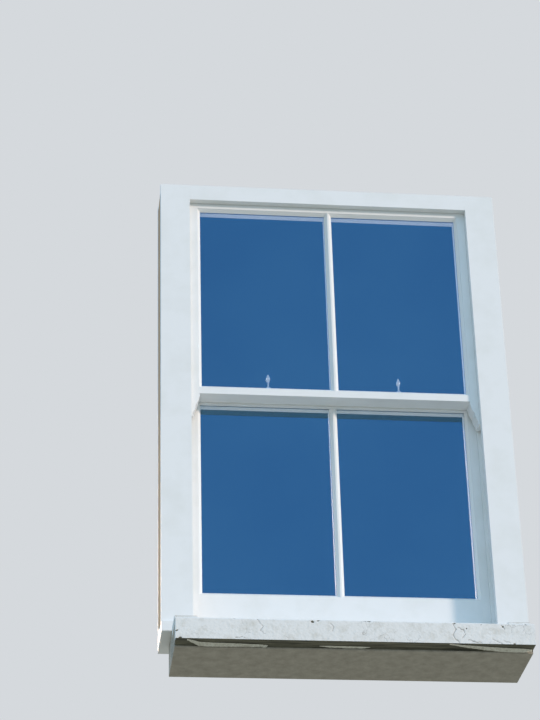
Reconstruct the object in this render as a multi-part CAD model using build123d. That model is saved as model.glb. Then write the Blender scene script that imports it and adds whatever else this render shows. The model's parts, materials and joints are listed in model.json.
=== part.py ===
from build123d import *
import math
import os

# Two-over-two vertically sliding box sash window on its stone sill, in millimetres.
# X runs to the right as seen from outside, Y into the room, Z up.
# The origin is on the stone sill's bed, midway between the sides, in the plane of the
# outside linings' outer face.

# Widths
clear_width = 874.0            # between the pulley stile faces
sash_side_gap = 2.0            # each side, between a sash and its pulley stile
stile_width = 41.0             # sash stile, outer edge to sight line
bar_width = 22.4               # glazing bar, sight line to sight line
pulley_stile_thick = 21.0
weight_space = 50.0
back_lining_thick = 8.0
stone_sill_length = 978.0
wall_opening = 852.0           # between the brick reveals, where the stone sill's stools begin

# Depths
sash_thick = 45.0
slide_gap = 1.0                # between a sash face and the bead or lining that guides it
lining_thick = 20.0
inside_lining_thick = 19.0
parting_bead_thick = 8.0
reveal_depth = 130.0           # wall face to outside lining
stone_nose_projection = 42.0   # in front of the wall face
stone_back = 85.0
timber_nose = 25.0             # timber sill, in front of the outside lining

# Heights
stone_nose_rise = 8.0          # underside of the nose above the bed
stone_face_top = 70.0
stone_seat_height = 90.0       # flat seat of the timber sill
stone_seat_margin = 15.0       # seat in front of the timber sill
stool_rise = 2.0               # of the stools that carry the wall, above the seat
stool_root = 5.0               # stools start this far below the face's top edge
stone_edge_round = 5.0
throat_radius = 4.0
nose_return = 3.0              # lean of the nose's back edge
timber_nose_height = 32.0
sill_step = 8.0                # weather step under the lower sash
sill_step_set_back = 4.0       # behind the lower sash's outside face
sill_slope = 8.0               # degrees
sill_clearance = 0.4           # under the lower sash, which rests on the sill
lower_sight = 254.0            # bottom of the lower glass
meeting_bottom = 859.5         # underside of the upper sash's meeting rail
meeting_rail_height = 30.0
lower_rail_drop = 5.0          # lower meeting rail reaches this far below the upper one
head_soffit = 1533.0
sash_top_gap = 1.0
top_rail_height = 35.0
head_thick = 22.0
lining_over_head = 20.0        # linings, above the head board
horn_length = 76.0
horn_nose_height = 12.0        # from the meeting rail down to the foot of the horn's bead
horn_waist_height = 38.0
horn_foot_height = 65.0
horn_waist_width = 22.0
horn_foot_width = 13.0
horn_swell = 2.3               # of the bead and of the cove past their chords

# Sash sections
rebate_width = 8.5
rebate_depth = 15.0
glass_thick = 4.0
glass_edge_gap = 2.0
putty_set_back = 1.0
putty_front_lip = 0.6
ovolo_radius = 8.0
quirk = 1.5
tenon_thick = 12.0
tenon_set_in = 17.0            # from the outside face of the sash
tenon_shoulder = 5.0           # above and below a narrow rail's tenon
top_tenon_height = 18.0
bottom_tenon_shoulder = 24.0
bar_tenon = 16.0
bar_tenon_width = 6.4
rail_bevel_top = 1.5           # upper meeting rail, past the sash's inner face, at the top
rail_bevel_bottom = 8.0        # and at the bottom
meeting_gap = 1.2
rail_end_notch = 1.5           # between a meeting rail's end and the parting bead
glass_groove = 8.0             # in the lower meeting rail

# Frame sections
lining_lap = 10.0              # outside lining, past the pulley stile face
bead_stand = 10.0              # parting bead, past the pulley stile face
bead_groove = 6.0
tongue_length = 7.0
tongue_thick = 8.0
housing_depth = 6.0            # pulley stiles into the head
sill_housing = 24.0            # pulley stiles below the sill's inner top
tongue_start = 30.0            # tongues above the foot of the pulley stiles
sill_nose_round = 3.0
staff_bead_width = 13.0
staff_bead_depth = 20.0
staff_bead_round = 8.0
sill_bead_height = 30.0
slip_thick = 6.0
slip_width = 34.0
slip_lift = 120.0              # parting slip's lower end above the timber sill
slip_over = 12.0               # and its upper end above the head
pocket_bottom = 230.0
pocket_length = 505.0
pocket_kerf = 0.5
pocket_slant = 25.0            # degrees, of the saw cuts at its ends
pocket_margin = 6.0            # between the pocket and the inner edge of the lower sash's track
pocket_screw_height = 40.0

# Cords, pulleys and weights
cord_diameter = 6.0
cord_stand_off = 4.0           # sash side of the cord, in front of the pulley stile face
pulley_radius = 25.0           # to the cord's centre line
pulley_drop = 105.0            # pulley centre below the head soffit
groove_clearance = 0.3
wheel_width = 11.0
wheel_rim = 28.5
pin_diameter = 8.0
running_clearance = 0.05
cheek_gap = 1.0
cheek_thick = 2.5
cheek_height = 44.0
cheek_reach = 10.0             # past the pin's centre
plate_length = 120.0
plate_width = 26.0
plate_thick = 3.0
plate_screw_inset = 10.0
cheek_round = 9.0
hub_radius = 8.5
rim_inner_radius = 18.5
web_half = 3.0
groove_ease = 0.45             # wheel groove wider than the cord at its centre line, each side
wheel_lip = 0.8
mouth_height = 54.0
mortice_height = 64.0          # through the pulley stile
cord_groove_width = 9.0
wheel_way_width = 15.0         # upper part of the groove, which also clears the pulley wheel
wheel_way_margin = 4.0
cord_groove_depth = 12.0
knot_diameter = 13.0
knot_pocket_diameter = 17.0
knot_pocket_depth = 18.0
knot_seat = 0.3                # between a knot and what it pulls against
knot_clearance = 0.8
upper_knot_drop = 280.0        # below the top of each sash
lower_knot_drop = 200.0
weight_diameter = 42.0
upper_weight_length = 425.0
lower_weight_length = 495.0
weight_eye_depth = 24.0
weight_eye_diameter = 8.0
weight_chamfer = 5.0
weight_recess_over = 6.0       # knot recess, longer than the knot
weight_high = 48.0             # highest weight top, below the pulley centre
sash_travel = 580.0

# Screw fasteners on the meeting rails, and sash lifts
fastener_spacing = 390.0
pivot_height = 9.0
pivot_behind_glass = 16.0      # from the upper panes' inner face
dome_radius = 10.0
dome_height = 15.0
dome_foot_height = 2.5
dome_step_radius = 8.5
dome_wall_height = 3.0
dome_shoulder_radius = 6.1
dome_shoulder_drop = 2.2       # below the dome's top
arm_eye_radius = 5.5
arm_eye_thick = 6.0
arm_side_gap = 0.4
arm_way_clearance = 0.5        # around the arm's eye
arm_pin_diameter = 4.0
arm_pin_length = 15.0
arm_rod_diameter = 5.0
arm_rod_end = 43.0
nut_start = 22.0
nut_length = 26.0
nut_radius = 6.0
nut_belly_height = 7.7
nut_neck_radius = 3.7
nut_neck_height = 2.4
nut_waist_radius = 3.6
nut_waist_height = 18.2
nut_taper_radius = 2.2
nut_taper_height = 23.4
nut_tip_radius = 0.7
nut_bore_over = 0.5            # bore, past the end of the arm
base_thick = 2.5
base_width = 22.0
base_length = 44.0
base_round = 6.0
base_screw_inset = 6.0
keep_set_back = 0.5            # behind the front edge of the lower meeting rail
keep_thick = 2.5
keep_width = 24.0
keep_length = 23.0
keep_round = 5.0
keep_screw_inset = 5.5
keep_screw_back = 7.0          # in front of the keep's back edge
fork_thick = 3.0
fork_height = 14.0
fork_width = 20.0
fork_round = 4.0
fork_slot = 6.6
fork_floor_gap = 0.8           # under the arm when it lies in the fork
screw_head_diameter = 7.0
screw_shank_diameter = 3.6
screw_length = 16.0
lift_width = 30.0
lift_thick = 3.5
lift_plate_height = 40.0
lift_finger_radius = 9.0
lift_lip = 8.0
lift_height = 205.0            # lower end of the lift's plate
lift_screw_low = 9.0           # above the plate's lower end
lift_screw_high = 12.0         # below the hook

# Modelling
cut_over = 1.0                 # cutting shapes reach this far past what they cut

# Derived lines
half_clear = clear_width / 2
half_sash = half_clear - sash_side_gap
half_sight = half_sash - stile_width
stile_back = half_clear + pulley_stile_thick
back_lining_in = stile_back + weight_space
half_box = back_lining_in + back_lining_thick
upper_front = lining_thick + slide_gap
upper_back = upper_front + sash_thick
bead_front = upper_back + slide_gap
bead_back = bead_front + parting_bead_thick
lower_front = bead_back + slide_gap
lower_back = lower_front + sash_thick
track_back = lower_back + slide_gap
frame_back = track_back + inside_lining_thick
upper_top = head_soffit - sash_top_gap
meeting_top = meeting_bottom + meeting_rail_height
lower_bottom_line = meeting_bottom - lower_rail_drop
mould_width = quirk + ovolo_radius
mould_start = sash_thick - quirk - ovolo_radius
glass_front = rebate_depth - glass_thick
sill_tan = math.tan(math.radians(sill_slope))
step_y = lower_front + sill_step_set_back
step_low = stone_seat_height + timber_nose_height + (step_y + timber_nose) * sill_tan
step_high = step_low + sill_step
sill_inner_top = step_high + (track_back - step_y) * sill_tan
head_top = head_soffit + head_thick
lining_top = head_top + lining_over_head
pulley_z = head_soffit - pulley_drop
cord_x = half_clear - cord_stand_off
pulley_x = cord_x + pulley_radius
weight_x = pulley_x + pulley_radius
upper_mid = upper_front + sash_thick / 2
lower_mid = lower_front + sash_thick / 2
rail_front_top = upper_back + rail_bevel_top + meeting_gap
pivot_y = upper_front + rebate_depth + pivot_behind_glass
pivot_z = meeting_top + pivot_height
stone_front = -reveal_depth - stone_nose_projection
keep_front = rail_front_top + keep_set_back
keep_back = keep_front + keep_length
keep_screw_y = keep_back - keep_screw_back


def box(x0, x1, y0, y1, z0, z1):
    middle = Pos((x0 + x1) / 2, (y0 + y1) / 2, (z0 + z1) / 2)
    return middle * Box(x1 - x0, y1 - y0, z1 - z0)


def prism_x(outline, x0, x1):
    # Outline in (Y, Z), run along X.
    return extrude(Plane.YZ.offset(x0) * make_face(outline), amount=x1 - x0)


def prism_y(outline, y0, y1):
    # Outline in (X, Z), run along Y.
    return extrude(Plane.XZ.offset(-y0) * make_face(outline), amount=y0 - y1)


def polygon(points):
    return Polyline(*points, close=True)


def flipped(part):
    return mirror(part, about=Plane.YZ)


def group(parts):
    solids = []
    for part in parts:
        solids.extend(part.solids())
    return Compound(solids)


def rod_x(x0, x1, y, z, radius):
    return Pos((x0 + x1) / 2, y, z) * Rot(0, 90, 0) * Cylinder(radius, x1 - x0)


def rod_y(y0, y1, x, z, radius):
    return Pos(x, (y0 + y1) / 2, z) * Rot(90, 0, 0) * Cylinder(radius, y1 - y0)


def screw(length=screw_length):
    # Countersunk wood screw, head up at z = 0.
    head_depth = (screw_head_diameter - screw_shank_diameter) / 2
    r_head, r_shank = screw_head_diameter / 2, screw_shank_diameter / 2
    outline = polygon([(0, 0), (r_head, 0), (r_shank, -head_depth),
                       (r_shank, -length + r_shank), (0, -length)])
    return revolve(Plane.XZ * make_face(outline), Axis.Z)


def sash_section(width, sides=1):
    # Section of a sash member: rebate and putty outside, ovolo mould inside.
    # u runs from the plain edge (or from the middle of a bar) to the sight line, v inwards.
    edge = Polyline((width - rebate_width, 0), (width - rebate_width, rebate_depth),
                    (width, rebate_depth), (width, mould_start), (width - quirk, mould_start))
    middle_u = width - mould_width + ovolo_radius * math.cos(math.radians(45))
    middle_v = mould_start + ovolo_radius * math.sin(math.radians(45))
    ovolo = ThreePointArc((width - quirk, mould_start), (middle_u, middle_v),
                          (width - mould_width, sash_thick - quirk))
    rest = Polyline((width - mould_width, sash_thick - quirk), (width - mould_width, sash_thick),
                    (0, sash_thick), (0, 0), (width - rebate_width, 0))
    half = make_face(edge + ovolo + rest)
    if sides == 1:
        return half
    return half + mirror(half, about=Plane.YZ)


def upright(section, x, y, z0, z1):
    return extrude(Pos(x, y, z0) * section, amount=z1 - z0)


def rail_up(section, y, z, x0, x1):
    # Rail whose sight line is its upper edge.
    plane = Plane(origin=(x1, y, z), x_dir=(0, 0, 1), z_dir=(-1, 0, 0))
    return extrude(plane * section, amount=x1 - x0)


def rail_down(section, y, z, x0, x1):
    # Rail whose sight line is its lower edge.
    plane = Plane(origin=(x0, y, z), x_dir=(0, 0, -1), z_dir=(1, 0, 0))
    return extrude(plane * section, amount=x1 - x0)


def both_sides(x0, x1, y0, y1, z0, z1):
    return box(x0, x1, y0, y1, z0, z1) + box(-x1, -x0, y0, y1, z0, z1)


def tenons(y, z0, z1):
    front = y + tenon_set_in
    return both_sides(half_sight - mould_width, half_sash, front, front + tenon_thick, z0, z1)


def cord_ways(y_mid, z_knot, z_wheel, z_top):
    # Grooves and knot pockets in the outer edges of a sash.
    # The wheel's centre passes the sash from z_wheel up by the sash's travel.
    half, wide = cord_groove_width / 2, wheel_way_width / 2
    reach = wheel_rim + wheel_way_margin
    floor_x = half_sash - cord_groove_depth
    ways = both_sides(floor_x, half_sash, y_mid - half, y_mid + half, z_knot, z_top)
    ways += both_sides(floor_x, half_sash, y_mid - wide, y_mid + wide,
                       z_wheel - reach, z_wheel + sash_travel + reach)
    x_in = half_sash - knot_pocket_depth
    radius = knot_pocket_diameter / 2
    for x0, x1 in ((x_in, half_sash), (-half_sash, -x_in)):
        ways += rod_x(x0, x1, y_mid, z_knot, radius)
    return ways


def horn(x_edge):
    # Shaped end of the upper stile below the meeting rail, left-hand side.
    top = stile_width - rebate_width
    start = (x_edge + top, meeting_bottom)
    nose = (x_edge + top, meeting_bottom - horn_nose_height)
    waist = (x_edge + horn_waist_width, meeting_bottom - horn_waist_height)
    foot = (x_edge + horn_foot_width, meeting_bottom - horn_foot_height)
    bead = ThreePointArc(start, swollen(start, nose), nose)
    cove = ThreePointArc(nose, swollen(nose, waist), waist)
    round_end = ThreePointArc(waist, swollen(waist, foot), foot)
    z_end = meeting_bottom - horn_length
    rest = Polyline(foot, (foot[0], z_end), (x_edge, z_end), (x_edge, meeting_bottom), start)
    return prism_y(bead + cove + round_end + rest, upper_front, upper_back)


def swollen(a, b):
    # Middle of a and b, pushed out to the sight line's side.
    return ((a[0] + b[0]) / 2 + horn_swell, (a[1] + b[1]) / 2)


def bevel_y(z):
    # Back face of the upper meeting rail at height z.
    share = (meeting_top - z) / (meeting_top - meeting_bottom)
    return upper_back + rail_bevel_top + share * (rail_bevel_bottom - rail_bevel_top)


def upper_sash_frame():
    section = sash_section(stile_width)
    left = upright(section, -half_sash, upper_front, meeting_bottom, upper_top) + horn(-half_sash)
    right = flipped(left)
    reach = half_sight + mould_width
    top = rail_down(sash_section(top_rail_height), upper_front, upper_top, -reach, reach)
    rail_end = half_clear - bead_stand - rail_end_notch
    rebate_z = meeting_top - rebate_width
    rail_outline = polygon([
        (upper_front, meeting_bottom), (upper_front, rebate_z),
        (upper_front + rebate_depth, rebate_z), (upper_front + rebate_depth, meeting_top),
        (bevel_y(meeting_top), meeting_top), (bevel_y(meeting_bottom), meeting_bottom)])
    meeting = prism_x(rail_outline, -rail_end, rail_end)
    top = top - left - right
    meeting = meeting - left - right
    z_mid = upper_top - top_rail_height / 2
    top_tenons = tenons(upper_front, z_mid - top_tenon_height / 2, z_mid + top_tenon_height / 2)
    rail_tenons = tenons(upper_front, meeting_bottom + tenon_shoulder, rebate_z - tenon_shoulder)
    ways = cord_ways(upper_mid, upper_top - upper_knot_drop, pulley_z, upper_top + cut_over)
    top = top + top_tenons - ways
    meeting = meeting + rail_tenons
    left = left - top_tenons - rail_tenons - ways
    right = right - top_tenons - rail_tenons - ways
    bar, meeting, top = glazing_bar(upper_front, meeting_top, upper_top - top_rail_height, meeting, top)
    return {"upper_stile_left": left, "upper_stile_right": right, "upper_top_rail": top,
            "upper_meeting_rail": meeting, "upper_glazing_bar": bar}


def glazing_bar(y, z_low, z_high, low_rail, high_rail):
    section = sash_section(bar_width / 2, sides=2)
    bar = upright(section, 0, y, z_low - mould_width, z_high + mould_width) - low_rail - high_rail
    tenon_half = bar_tenon_width / 2
    front = y + tenon_set_in
    pegs = [box(-tenon_half, tenon_half, front, front + tenon_thick, z0, z0 + bar_tenon)
            for z0 in (z_low - bar_tenon, z_high)]
    bar = bar + pegs[0] + pegs[1]
    return bar, low_rail - pegs[0], high_rail - pegs[1]


def sash_bottom_cut():
    # Space of the timber sill under the lower sash, with its clearance.
    y0, y1 = lower_front - cut_over, lower_back + cut_over
    z0, z1 = [step_high + sill_clearance + (y - step_y) * sill_tan for y in (y0, y1)]
    low = stone_seat_height
    return prism_x(polygon([(y0, low), (y1, low), (y1, z1), (y0, z0)]), -half_box, half_box)


def lower_sash_frame():
    section = sash_section(stile_width)
    base = step_low
    left = upright(section, -half_sash, lower_front, base, meeting_top)
    right = flipped(left)
    reach = half_sight + mould_width
    bottom = rail_up(sash_section(lower_sight - base), lower_front, base, -reach, reach)
    rail_end = half_clear - bead_stand - rail_end_notch
    front_low = bevel_y(meeting_bottom) + meeting_gap
    mould_y = lower_front + mould_start
    mid = math.radians(45)
    arc_centre = (mould_y, lower_bottom_line + mould_width)
    ovolo = ThreePointArc(
        (mould_y, lower_bottom_line + quirk),
        (arc_centre[0] + ovolo_radius * math.sin(mid), arc_centre[1] - ovolo_radius * math.cos(mid)),
        (lower_back - quirk, lower_bottom_line + mould_width))
    rest = Polyline((lower_back - quirk, lower_bottom_line + mould_width),
                    (lower_back, lower_bottom_line + mould_width), (lower_back, meeting_top),
                    (rail_front_top, meeting_top), (front_low, meeting_bottom),
                    (front_low, lower_bottom_line), (mould_y, lower_bottom_line),
                    (mould_y, lower_bottom_line + quirk))
    meeting = prism_x(ovolo + rest, -rail_end, rail_end)
    bottom = bottom - left - right
    meeting = meeting - left - right
    bottom_tenons = tenons(lower_front, base + bottom_tenon_shoulder, lower_sight - bottom_tenon_shoulder)
    rail_tenons = tenons(lower_front, lower_bottom_line + mould_width, meeting_top - tenon_shoulder)
    ways = cord_ways(lower_mid, meeting_top - lower_knot_drop, pulley_z - sash_travel,
                     meeting_top + cut_over)
    bottom = bottom + bottom_tenons
    meeting = meeting + rail_tenons - ways
    under = sash_bottom_cut()
    left = left - bottom_tenons - rail_tenons - ways - under
    right = right - bottom_tenons - rail_tenons - ways - under
    bottom = bottom - under
    bar, bottom, meeting = glazing_bar(lower_front, lower_sight, lower_bottom_line, bottom, meeting)
    groove_y = lower_front + glass_front
    groove = box(-half_sight - rebate_width + glass_edge_gap, half_sight + rebate_width - glass_edge_gap,
                 groove_y, groove_y + glass_thick,
                 lower_bottom_line - cut_over, lower_bottom_line + glass_groove)
    bar_half = bar_width / 2 - rebate_width + glass_edge_gap
    keep_middle = box(-bar_half, bar_half, groove_y, groove_y + glass_thick,
                      lower_bottom_line - 2 * cut_over, lower_bottom_line + glass_groove)
    meeting = meeting - (groove - keep_middle)
    return {"lower_stile_left": left, "lower_stile_right": right, "lower_bottom_rail": bottom,
            "lower_meeting_rail": meeting, "lower_glazing_bar": bar}


def pane(y, z0, z1):
    # Left-hand pane, held glass_edge_gap inside its rebate.
    bite = rebate_width - glass_edge_gap
    return box(-half_sight - bite, -bar_width / 2 + bite, y + glass_front, y + rebate_depth, z0, z1)


def putty(y, z0, z1, open_top=False):
    # Bevelled putty around the left-hand pane, from the rebate's wall to the sight line.
    x0, x1 = -half_sight, -bar_width / 2
    r, lip = rebate_width, putty_front_lip
    front, back = y + putty_set_back, y + glass_front
    z_end = z1 if open_top else z1 + r
    block = box(x0 - r, x1 + r, front, back, z0 - r, z_end)
    over = r if open_top else 0.0
    middle_x, middle_z = (x0 + x1) / 2, (z0 + z1 + over) / 2
    across, upwards = x1 - x0, z1 - z0 + over
    grow = 2 * (r - lip)
    narrow = Pos(middle_x, back, middle_z) * Rot(90, 0, 0) * Rectangle(across, upwards)
    wide = Pos(middle_x, front, middle_z) * Rot(90, 0, 0) * Rectangle(across + grow, upwards + grow)
    return block - loft([narrow, wide])


def sash_glass(y, z0, z1, open_top=False):
    bite = rebate_width - glass_edge_gap
    left = pane(y, z0 - bite, z1 + (glass_groove if open_top else bite))
    left_putty = putty(y, z0, z1, open_top)
    return left, flipped(left), group([left_putty, flipped(left_putty)])


def parting_beads(sill):
    z_top = head_soffit
    left = box(-half_clear - bead_groove, -half_clear + bead_stand, bead_front, bead_back,
               stone_seat_height, z_top) - sill
    head = box(-half_clear, half_clear, bead_front, bead_back, head_soffit - bead_stand,
               head_soffit + bead_groove)
    left = left - head
    return left, flipped(left), head


def timber_sill_blank():
    nose_top = stone_seat_height + timber_nose_height
    outline = polygon([(-timber_nose, stone_seat_height), (-timber_nose, nose_top), (step_y, step_low),
                       (step_y, step_high), (track_back, sill_inner_top),
                       (frame_back, sill_inner_top), (frame_back, stone_seat_height)])
    sill = prism_x(outline, -half_box, half_box)
    front_edges = sill.edges().filter_by(Axis.X).group_by(Axis.Y)[0]
    return fillet(front_edges, sill_nose_round)


def pulley_stile_blank():
    z0 = sill_inner_top - sill_housing
    body = box(-stile_back, -half_clear, lining_thick, track_back, z0, head_soffit + housing_depth)
    middle = -half_clear - pulley_stile_thick / 2
    z1 = head_soffit
    return body + box(middle - tongue_thick / 2, middle + tongue_thick / 2, lining_thick - tongue_length,
                      track_back + tongue_length, z0 + tongue_start, z1)


def pocket_outline(kerf):
    # Side view of the pocket piece: both ends are cut on the slant, so that it wedges in.
    slant = pulley_stile_thick * math.tan(math.radians(pocket_slant))
    z0, z1 = pocket_bottom - kerf, pocket_bottom + pocket_length + kerf
    return polygon([(-half_clear, z0), (-half_clear, z1), (-stile_back, z1 - slant),
                    (-stile_back, z0 + slant)])


def pocket_piece(kerf=0.0):
    return prism_y(pocket_outline(kerf), bead_back - kerf, lower_back - pocket_margin + kerf)


def on_pulleys(make):
    # One copy for each of the four pulleys, placed at the pulley's centre line.
    copies = []
    for y_mid in (upper_mid, lower_mid):
        left = Pos(-pulley_x, y_mid, pulley_z) * make()
        copies.extend([left, flipped(left)])
    return copies


def pulley_housing():
    # Left-hand pulley case about its pin: round-ended face plate and two cheeks.
    face_x = pulley_x - half_clear
    plate_plane = Plane(origin=(face_x - plate_thick, 0, 0), x_dir=(0, 0, 1), z_dir=(1, 0, 0))
    plate = extrude(plate_plane * SlotOverall(plate_length, plate_width), amount=plate_thick)
    inner = wheel_width / 2 + cheek_gap
    mouth = box(face_x - plate_thick - cut_over, face_x + cut_over, -inner, inner,
                -mouth_height / 2, mouth_height / 2)
    plate = plate - mouth
    for z in plate_screw_rows():
        plate = plate - Pos(face_x, 0, z) * Rot(0, 90, 0) * screw(2 * plate_thick)
    cheek = box(-cheek_reach, face_x - plate_thick, inner, inner + cheek_thick,
                -cheek_height / 2, cheek_height / 2)
    cheek = fillet(cheek.edges().filter_by(Axis.Y).group_by(Axis.X)[0], cheek_round)
    cheek = cheek - rod_y(inner - cut_over, inner + cheek_thick + cut_over, 0, 0, pin_diameter / 2)
    return plate + cheek + mirror(cheek, about=Plane.XZ)


def plate_screw_rows():
    reach = plate_length / 2 - plate_screw_inset
    return (reach, -reach)


def pulley_pin():
    half = wheel_width / 2 + cheek_gap + cheek_thick
    return rod_y(-half, half, 0, 0, pin_diameter / 2)


def pulley_mortice():
    half = wheel_width / 2 + cheek_gap + cheek_thick
    face_x = pulley_x - half_clear
    plate_plane = Plane(origin=(face_x - plate_thick, 0, 0), x_dir=(0, 0, 1), z_dir=(1, 0, 0))
    recess = extrude(plate_plane * SlotOverall(plate_length, plate_width), amount=plate_thick + cut_over)
    half_high = mortice_height / 2
    through = box(face_x - pulley_stile_thick - cut_over, face_x, -half, half, -half_high, half_high)
    return recess + through


def pulley_wheel():
    # Grooved wheel turning about Y.
    w = wheel_width / 2
    bore = pin_diameter / 2 + running_clearance
    hub, rim_in = hub_radius, rim_inner_radius
    groove_bottom = pulley_radius - cord_diameter / 2 - groove_clearance
    shoulder, mouth = cord_diameter / 2 + groove_ease, w - wheel_lip
    lines = Polyline((rim_in, w), (rim_in, web_half), (hub, web_half), (hub, w), (bore, w), (bore, -w),
                     (hub, -w), (hub, -web_half), (rim_in, -web_half), (rim_in, -w), (wheel_rim, -w),
                     (wheel_rim, -mouth), (pulley_radius, -shoulder))
    arc = ThreePointArc((pulley_radius, -shoulder), (groove_bottom, 0), (pulley_radius, shoulder))
    close = Polyline((pulley_radius, shoulder), (wheel_rim, mouth), (wheel_rim, w), (rim_in, w))
    return revolve(make_face(lines + arc + close), Axis.Y)


def weight(y_mid, top, length):
    # Cast sash weight with its cord hole and knot recess, left-hand side.
    r = weight_diameter / 2
    body = Pos(-weight_x, y_mid, top - length / 2) * Cylinder(r, length)
    ends = body.edges().filter_by(GeomType.CIRCLE)
    body = chamfer(ends, weight_chamfer)
    z0 = top - weight_eye_depth
    eye = Pos(-weight_x, y_mid, (z0 + top) / 2) * Cylinder(weight_eye_diameter / 2, weight_eye_depth)
    side = knot_diameter / 2 + knot_clearance
    recess = box(-weight_x - side, -weight_x + side, y_mid - r - cut_over, y_mid + side,
                 z0 - knot_diameter - weight_recess_over, z0)
    return body - eye - recess


def cord(y_mid, knot_z, weight_top):
    # One left-hand sash cord: knot in the sash, up, over the pulley, down to the knot in the weight.
    # The sash's knot pulls against the shoulders of its pocket, at each side of the groove.
    knot_r = knot_diameter / 2
    seat_r = knot_r + knot_seat
    groove_half = cord_groove_width / 2
    shoulder = math.sqrt((knot_pocket_diameter / 2) ** 2 - groove_half ** 2)
    pulled_up = knot_z + shoulder - math.sqrt(seat_r ** 2 - groove_half ** 2)
    start = (-cord_x, y_mid, pulled_up)
    low_end = (-weight_x, y_mid, weight_top - weight_eye_depth - knot_r)
    path = Line(start, (-cord_x, y_mid, pulley_z))
    path += ThreePointArc((-cord_x, y_mid, pulley_z), (-pulley_x, y_mid, pulley_z + pulley_radius),
                          (-weight_x, y_mid, pulley_z))
    path += Line((-weight_x, y_mid, pulley_z), low_end)
    tube = sweep(Plane(origin=start, z_dir=(0, 0, 1)) * Circle(cord_diameter / 2), path=path)
    sash_knot = Pos(-half_sash + knot_r, y_mid, pulled_up) * Sphere(knot_r)
    weight_knot = Pos(*low_end) * Sphere(knot_r - knot_seat)
    return tube + sash_knot + weight_knot


def linings(stiles, sill):
    lap_x = half_clear - lining_lap
    outer_left = box(-half_box, -lap_x, 0, lining_thick, stone_seat_height, lining_top) - sill - stiles
    outer_head = box(-lap_x, lap_x, 0, lining_thick, head_soffit - lining_lap, lining_top)
    inner_left = box(-half_box, -half_clear, track_back, frame_back, sill_inner_top, lining_top) - stiles
    inner_head = box(-half_clear, half_clear, track_back, frame_back, head_soffit, lining_top)
    back_left = box(-half_box, -back_lining_in, lining_thick, track_back, stone_seat_height, head_top) - sill
    return outer_left, outer_head, inner_left, inner_head, back_left


def head_board(stiles, bead, slips):
    board = box(-back_lining_in, back_lining_in, lining_thick, track_back, head_soffit, head_top)
    return board - stiles - flipped(stiles) - bead - slips


def parting_slip():
    y = (bead_front + bead_back) / 2
    z0 = sill_inner_top + slip_lift
    middle = (stile_back + back_lining_in) / 2
    return box(-middle - slip_width / 2, -middle + slip_width / 2, y - slip_thick / 2,
               y + slip_thick / 2, z0, head_top + slip_over)


def staff_beads():
    x_in = half_clear - staff_bead_width
    y1 = track_back + staff_bead_depth
    section = Pos(-half_clear + staff_bead_width / 2, track_back + staff_bead_depth / 2) * Rectangle(
        staff_bead_width, staff_bead_depth)
    corner = section.vertices().group_by(Axis.X)[-1].sort_by(Axis.Y)[-1]
    section = fillet(corner, staff_bead_round)
    left = extrude(Pos(0, 0, sill_inner_top) * section, amount=head_soffit - sill_inner_top)
    head = box(-half_clear, half_clear, track_back, y1, head_soffit - staff_bead_width, head_soffit)
    head = fillet(head.edges().filter_by(Axis.X).group_by(Axis.Y)[-1].sort_by(Axis.Z)[0], staff_bead_round)
    sill = box(-half_clear, half_clear, track_back, y1, sill_inner_top, sill_inner_top + sill_bead_height)
    sill = fillet(sill.edges().filter_by(Axis.X).group_by(Axis.Y)[-1].sort_by(Axis.Z)[-1], staff_bead_round)
    left = left - head - sill
    return left, flipped(left), head, sill


def stone_sill():
    # Weathered and throated sill with a flat stool at each end for the wall.
    bed_front = -reveal_depth
    seat_front = -timber_nose - stone_seat_margin
    outline = polygon([(stone_front, stone_nose_rise), (stone_front, stone_face_top),
                       (seat_front, stone_seat_height), (stone_back, stone_seat_height), (stone_back, 0),
                       (bed_front, 0), (bed_front - nose_return, stone_nose_rise)])
    half = stone_sill_length / 2
    sill = prism_x(outline, -half, half)
    front = sill.edges().filter_by(Axis.X).group_by(Axis.Y)[0].sort_by(Axis.Z)
    sill = fillet(front[-1], stone_edge_round)
    stool_low, stool_top = stone_face_top - stool_root, stone_seat_height + stool_rise
    for x0, x1 in ((wall_opening / 2, half), (-half, -wall_opening / 2)):
        sill = sill + box(x0, x1, bed_front, seat_front, stool_low, stool_top)
    throat_y = (stone_front + bed_front) / 2
    throat = rod_x(-wall_opening / 2, wall_opening / 2, throat_y, stone_nose_rise, throat_radius)
    return sill - throat


def at_fasteners(part):
    return [Pos(x, 0, 0) * part for x in (-fastener_spacing / 2, fastener_spacing / 2)]


def fastener_base():
    # Plate and stepped dome, slotted for the arm, on the upper meeting rail.
    plate = Pos(0, pivot_y, base_thick / 2) * Box(base_length, base_width, base_thick)
    plate = fillet(plate.edges().filter_by(Axis.Z), base_round)
    r = dome_radius
    step = dome_step_radius
    low = base_thick + dome_foot_height
    high = low + dome_wall_height
    wall = Polyline((0, 0), (r, 0), (r, low), (step, low), (step, high))
    shoulder = (dome_shoulder_radius, dome_height - dome_shoulder_drop)
    cap = ThreePointArc((step, high), shoulder, (0, dome_height))
    close = Line((0, dome_height), (0, 0))
    dome = Pos(0, pivot_y, 0) * revolve(Plane.XZ * make_face(wall + cap + close), Axis.Z)
    gap = arm_eye_thick / 2 + arm_side_gap
    slot = box(-gap, gap, pivot_y - r - cut_over, pivot_y + r + cut_over, base_thick, dome_height + cut_over)
    slot += rod_x(-gap, gap, pivot_y, pivot_height, arm_eye_radius + arm_way_clearance)
    base = plate + dome - slot
    base = base - rod_x(-r, r, pivot_y, pivot_height, arm_pin_diameter / 2)
    for x in base_screw_columns():
        base = base - Pos(x, pivot_y, base_thick) * screw()
    return Pos(0, 0, meeting_top) * base


def base_screw_columns():
    reach = base_length / 2 - base_screw_inset
    return (-reach, reach)


def fastener_pin():
    return rod_x(-arm_pin_length / 2, arm_pin_length / 2, pivot_y, pivot_z, arm_pin_diameter / 2)


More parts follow.
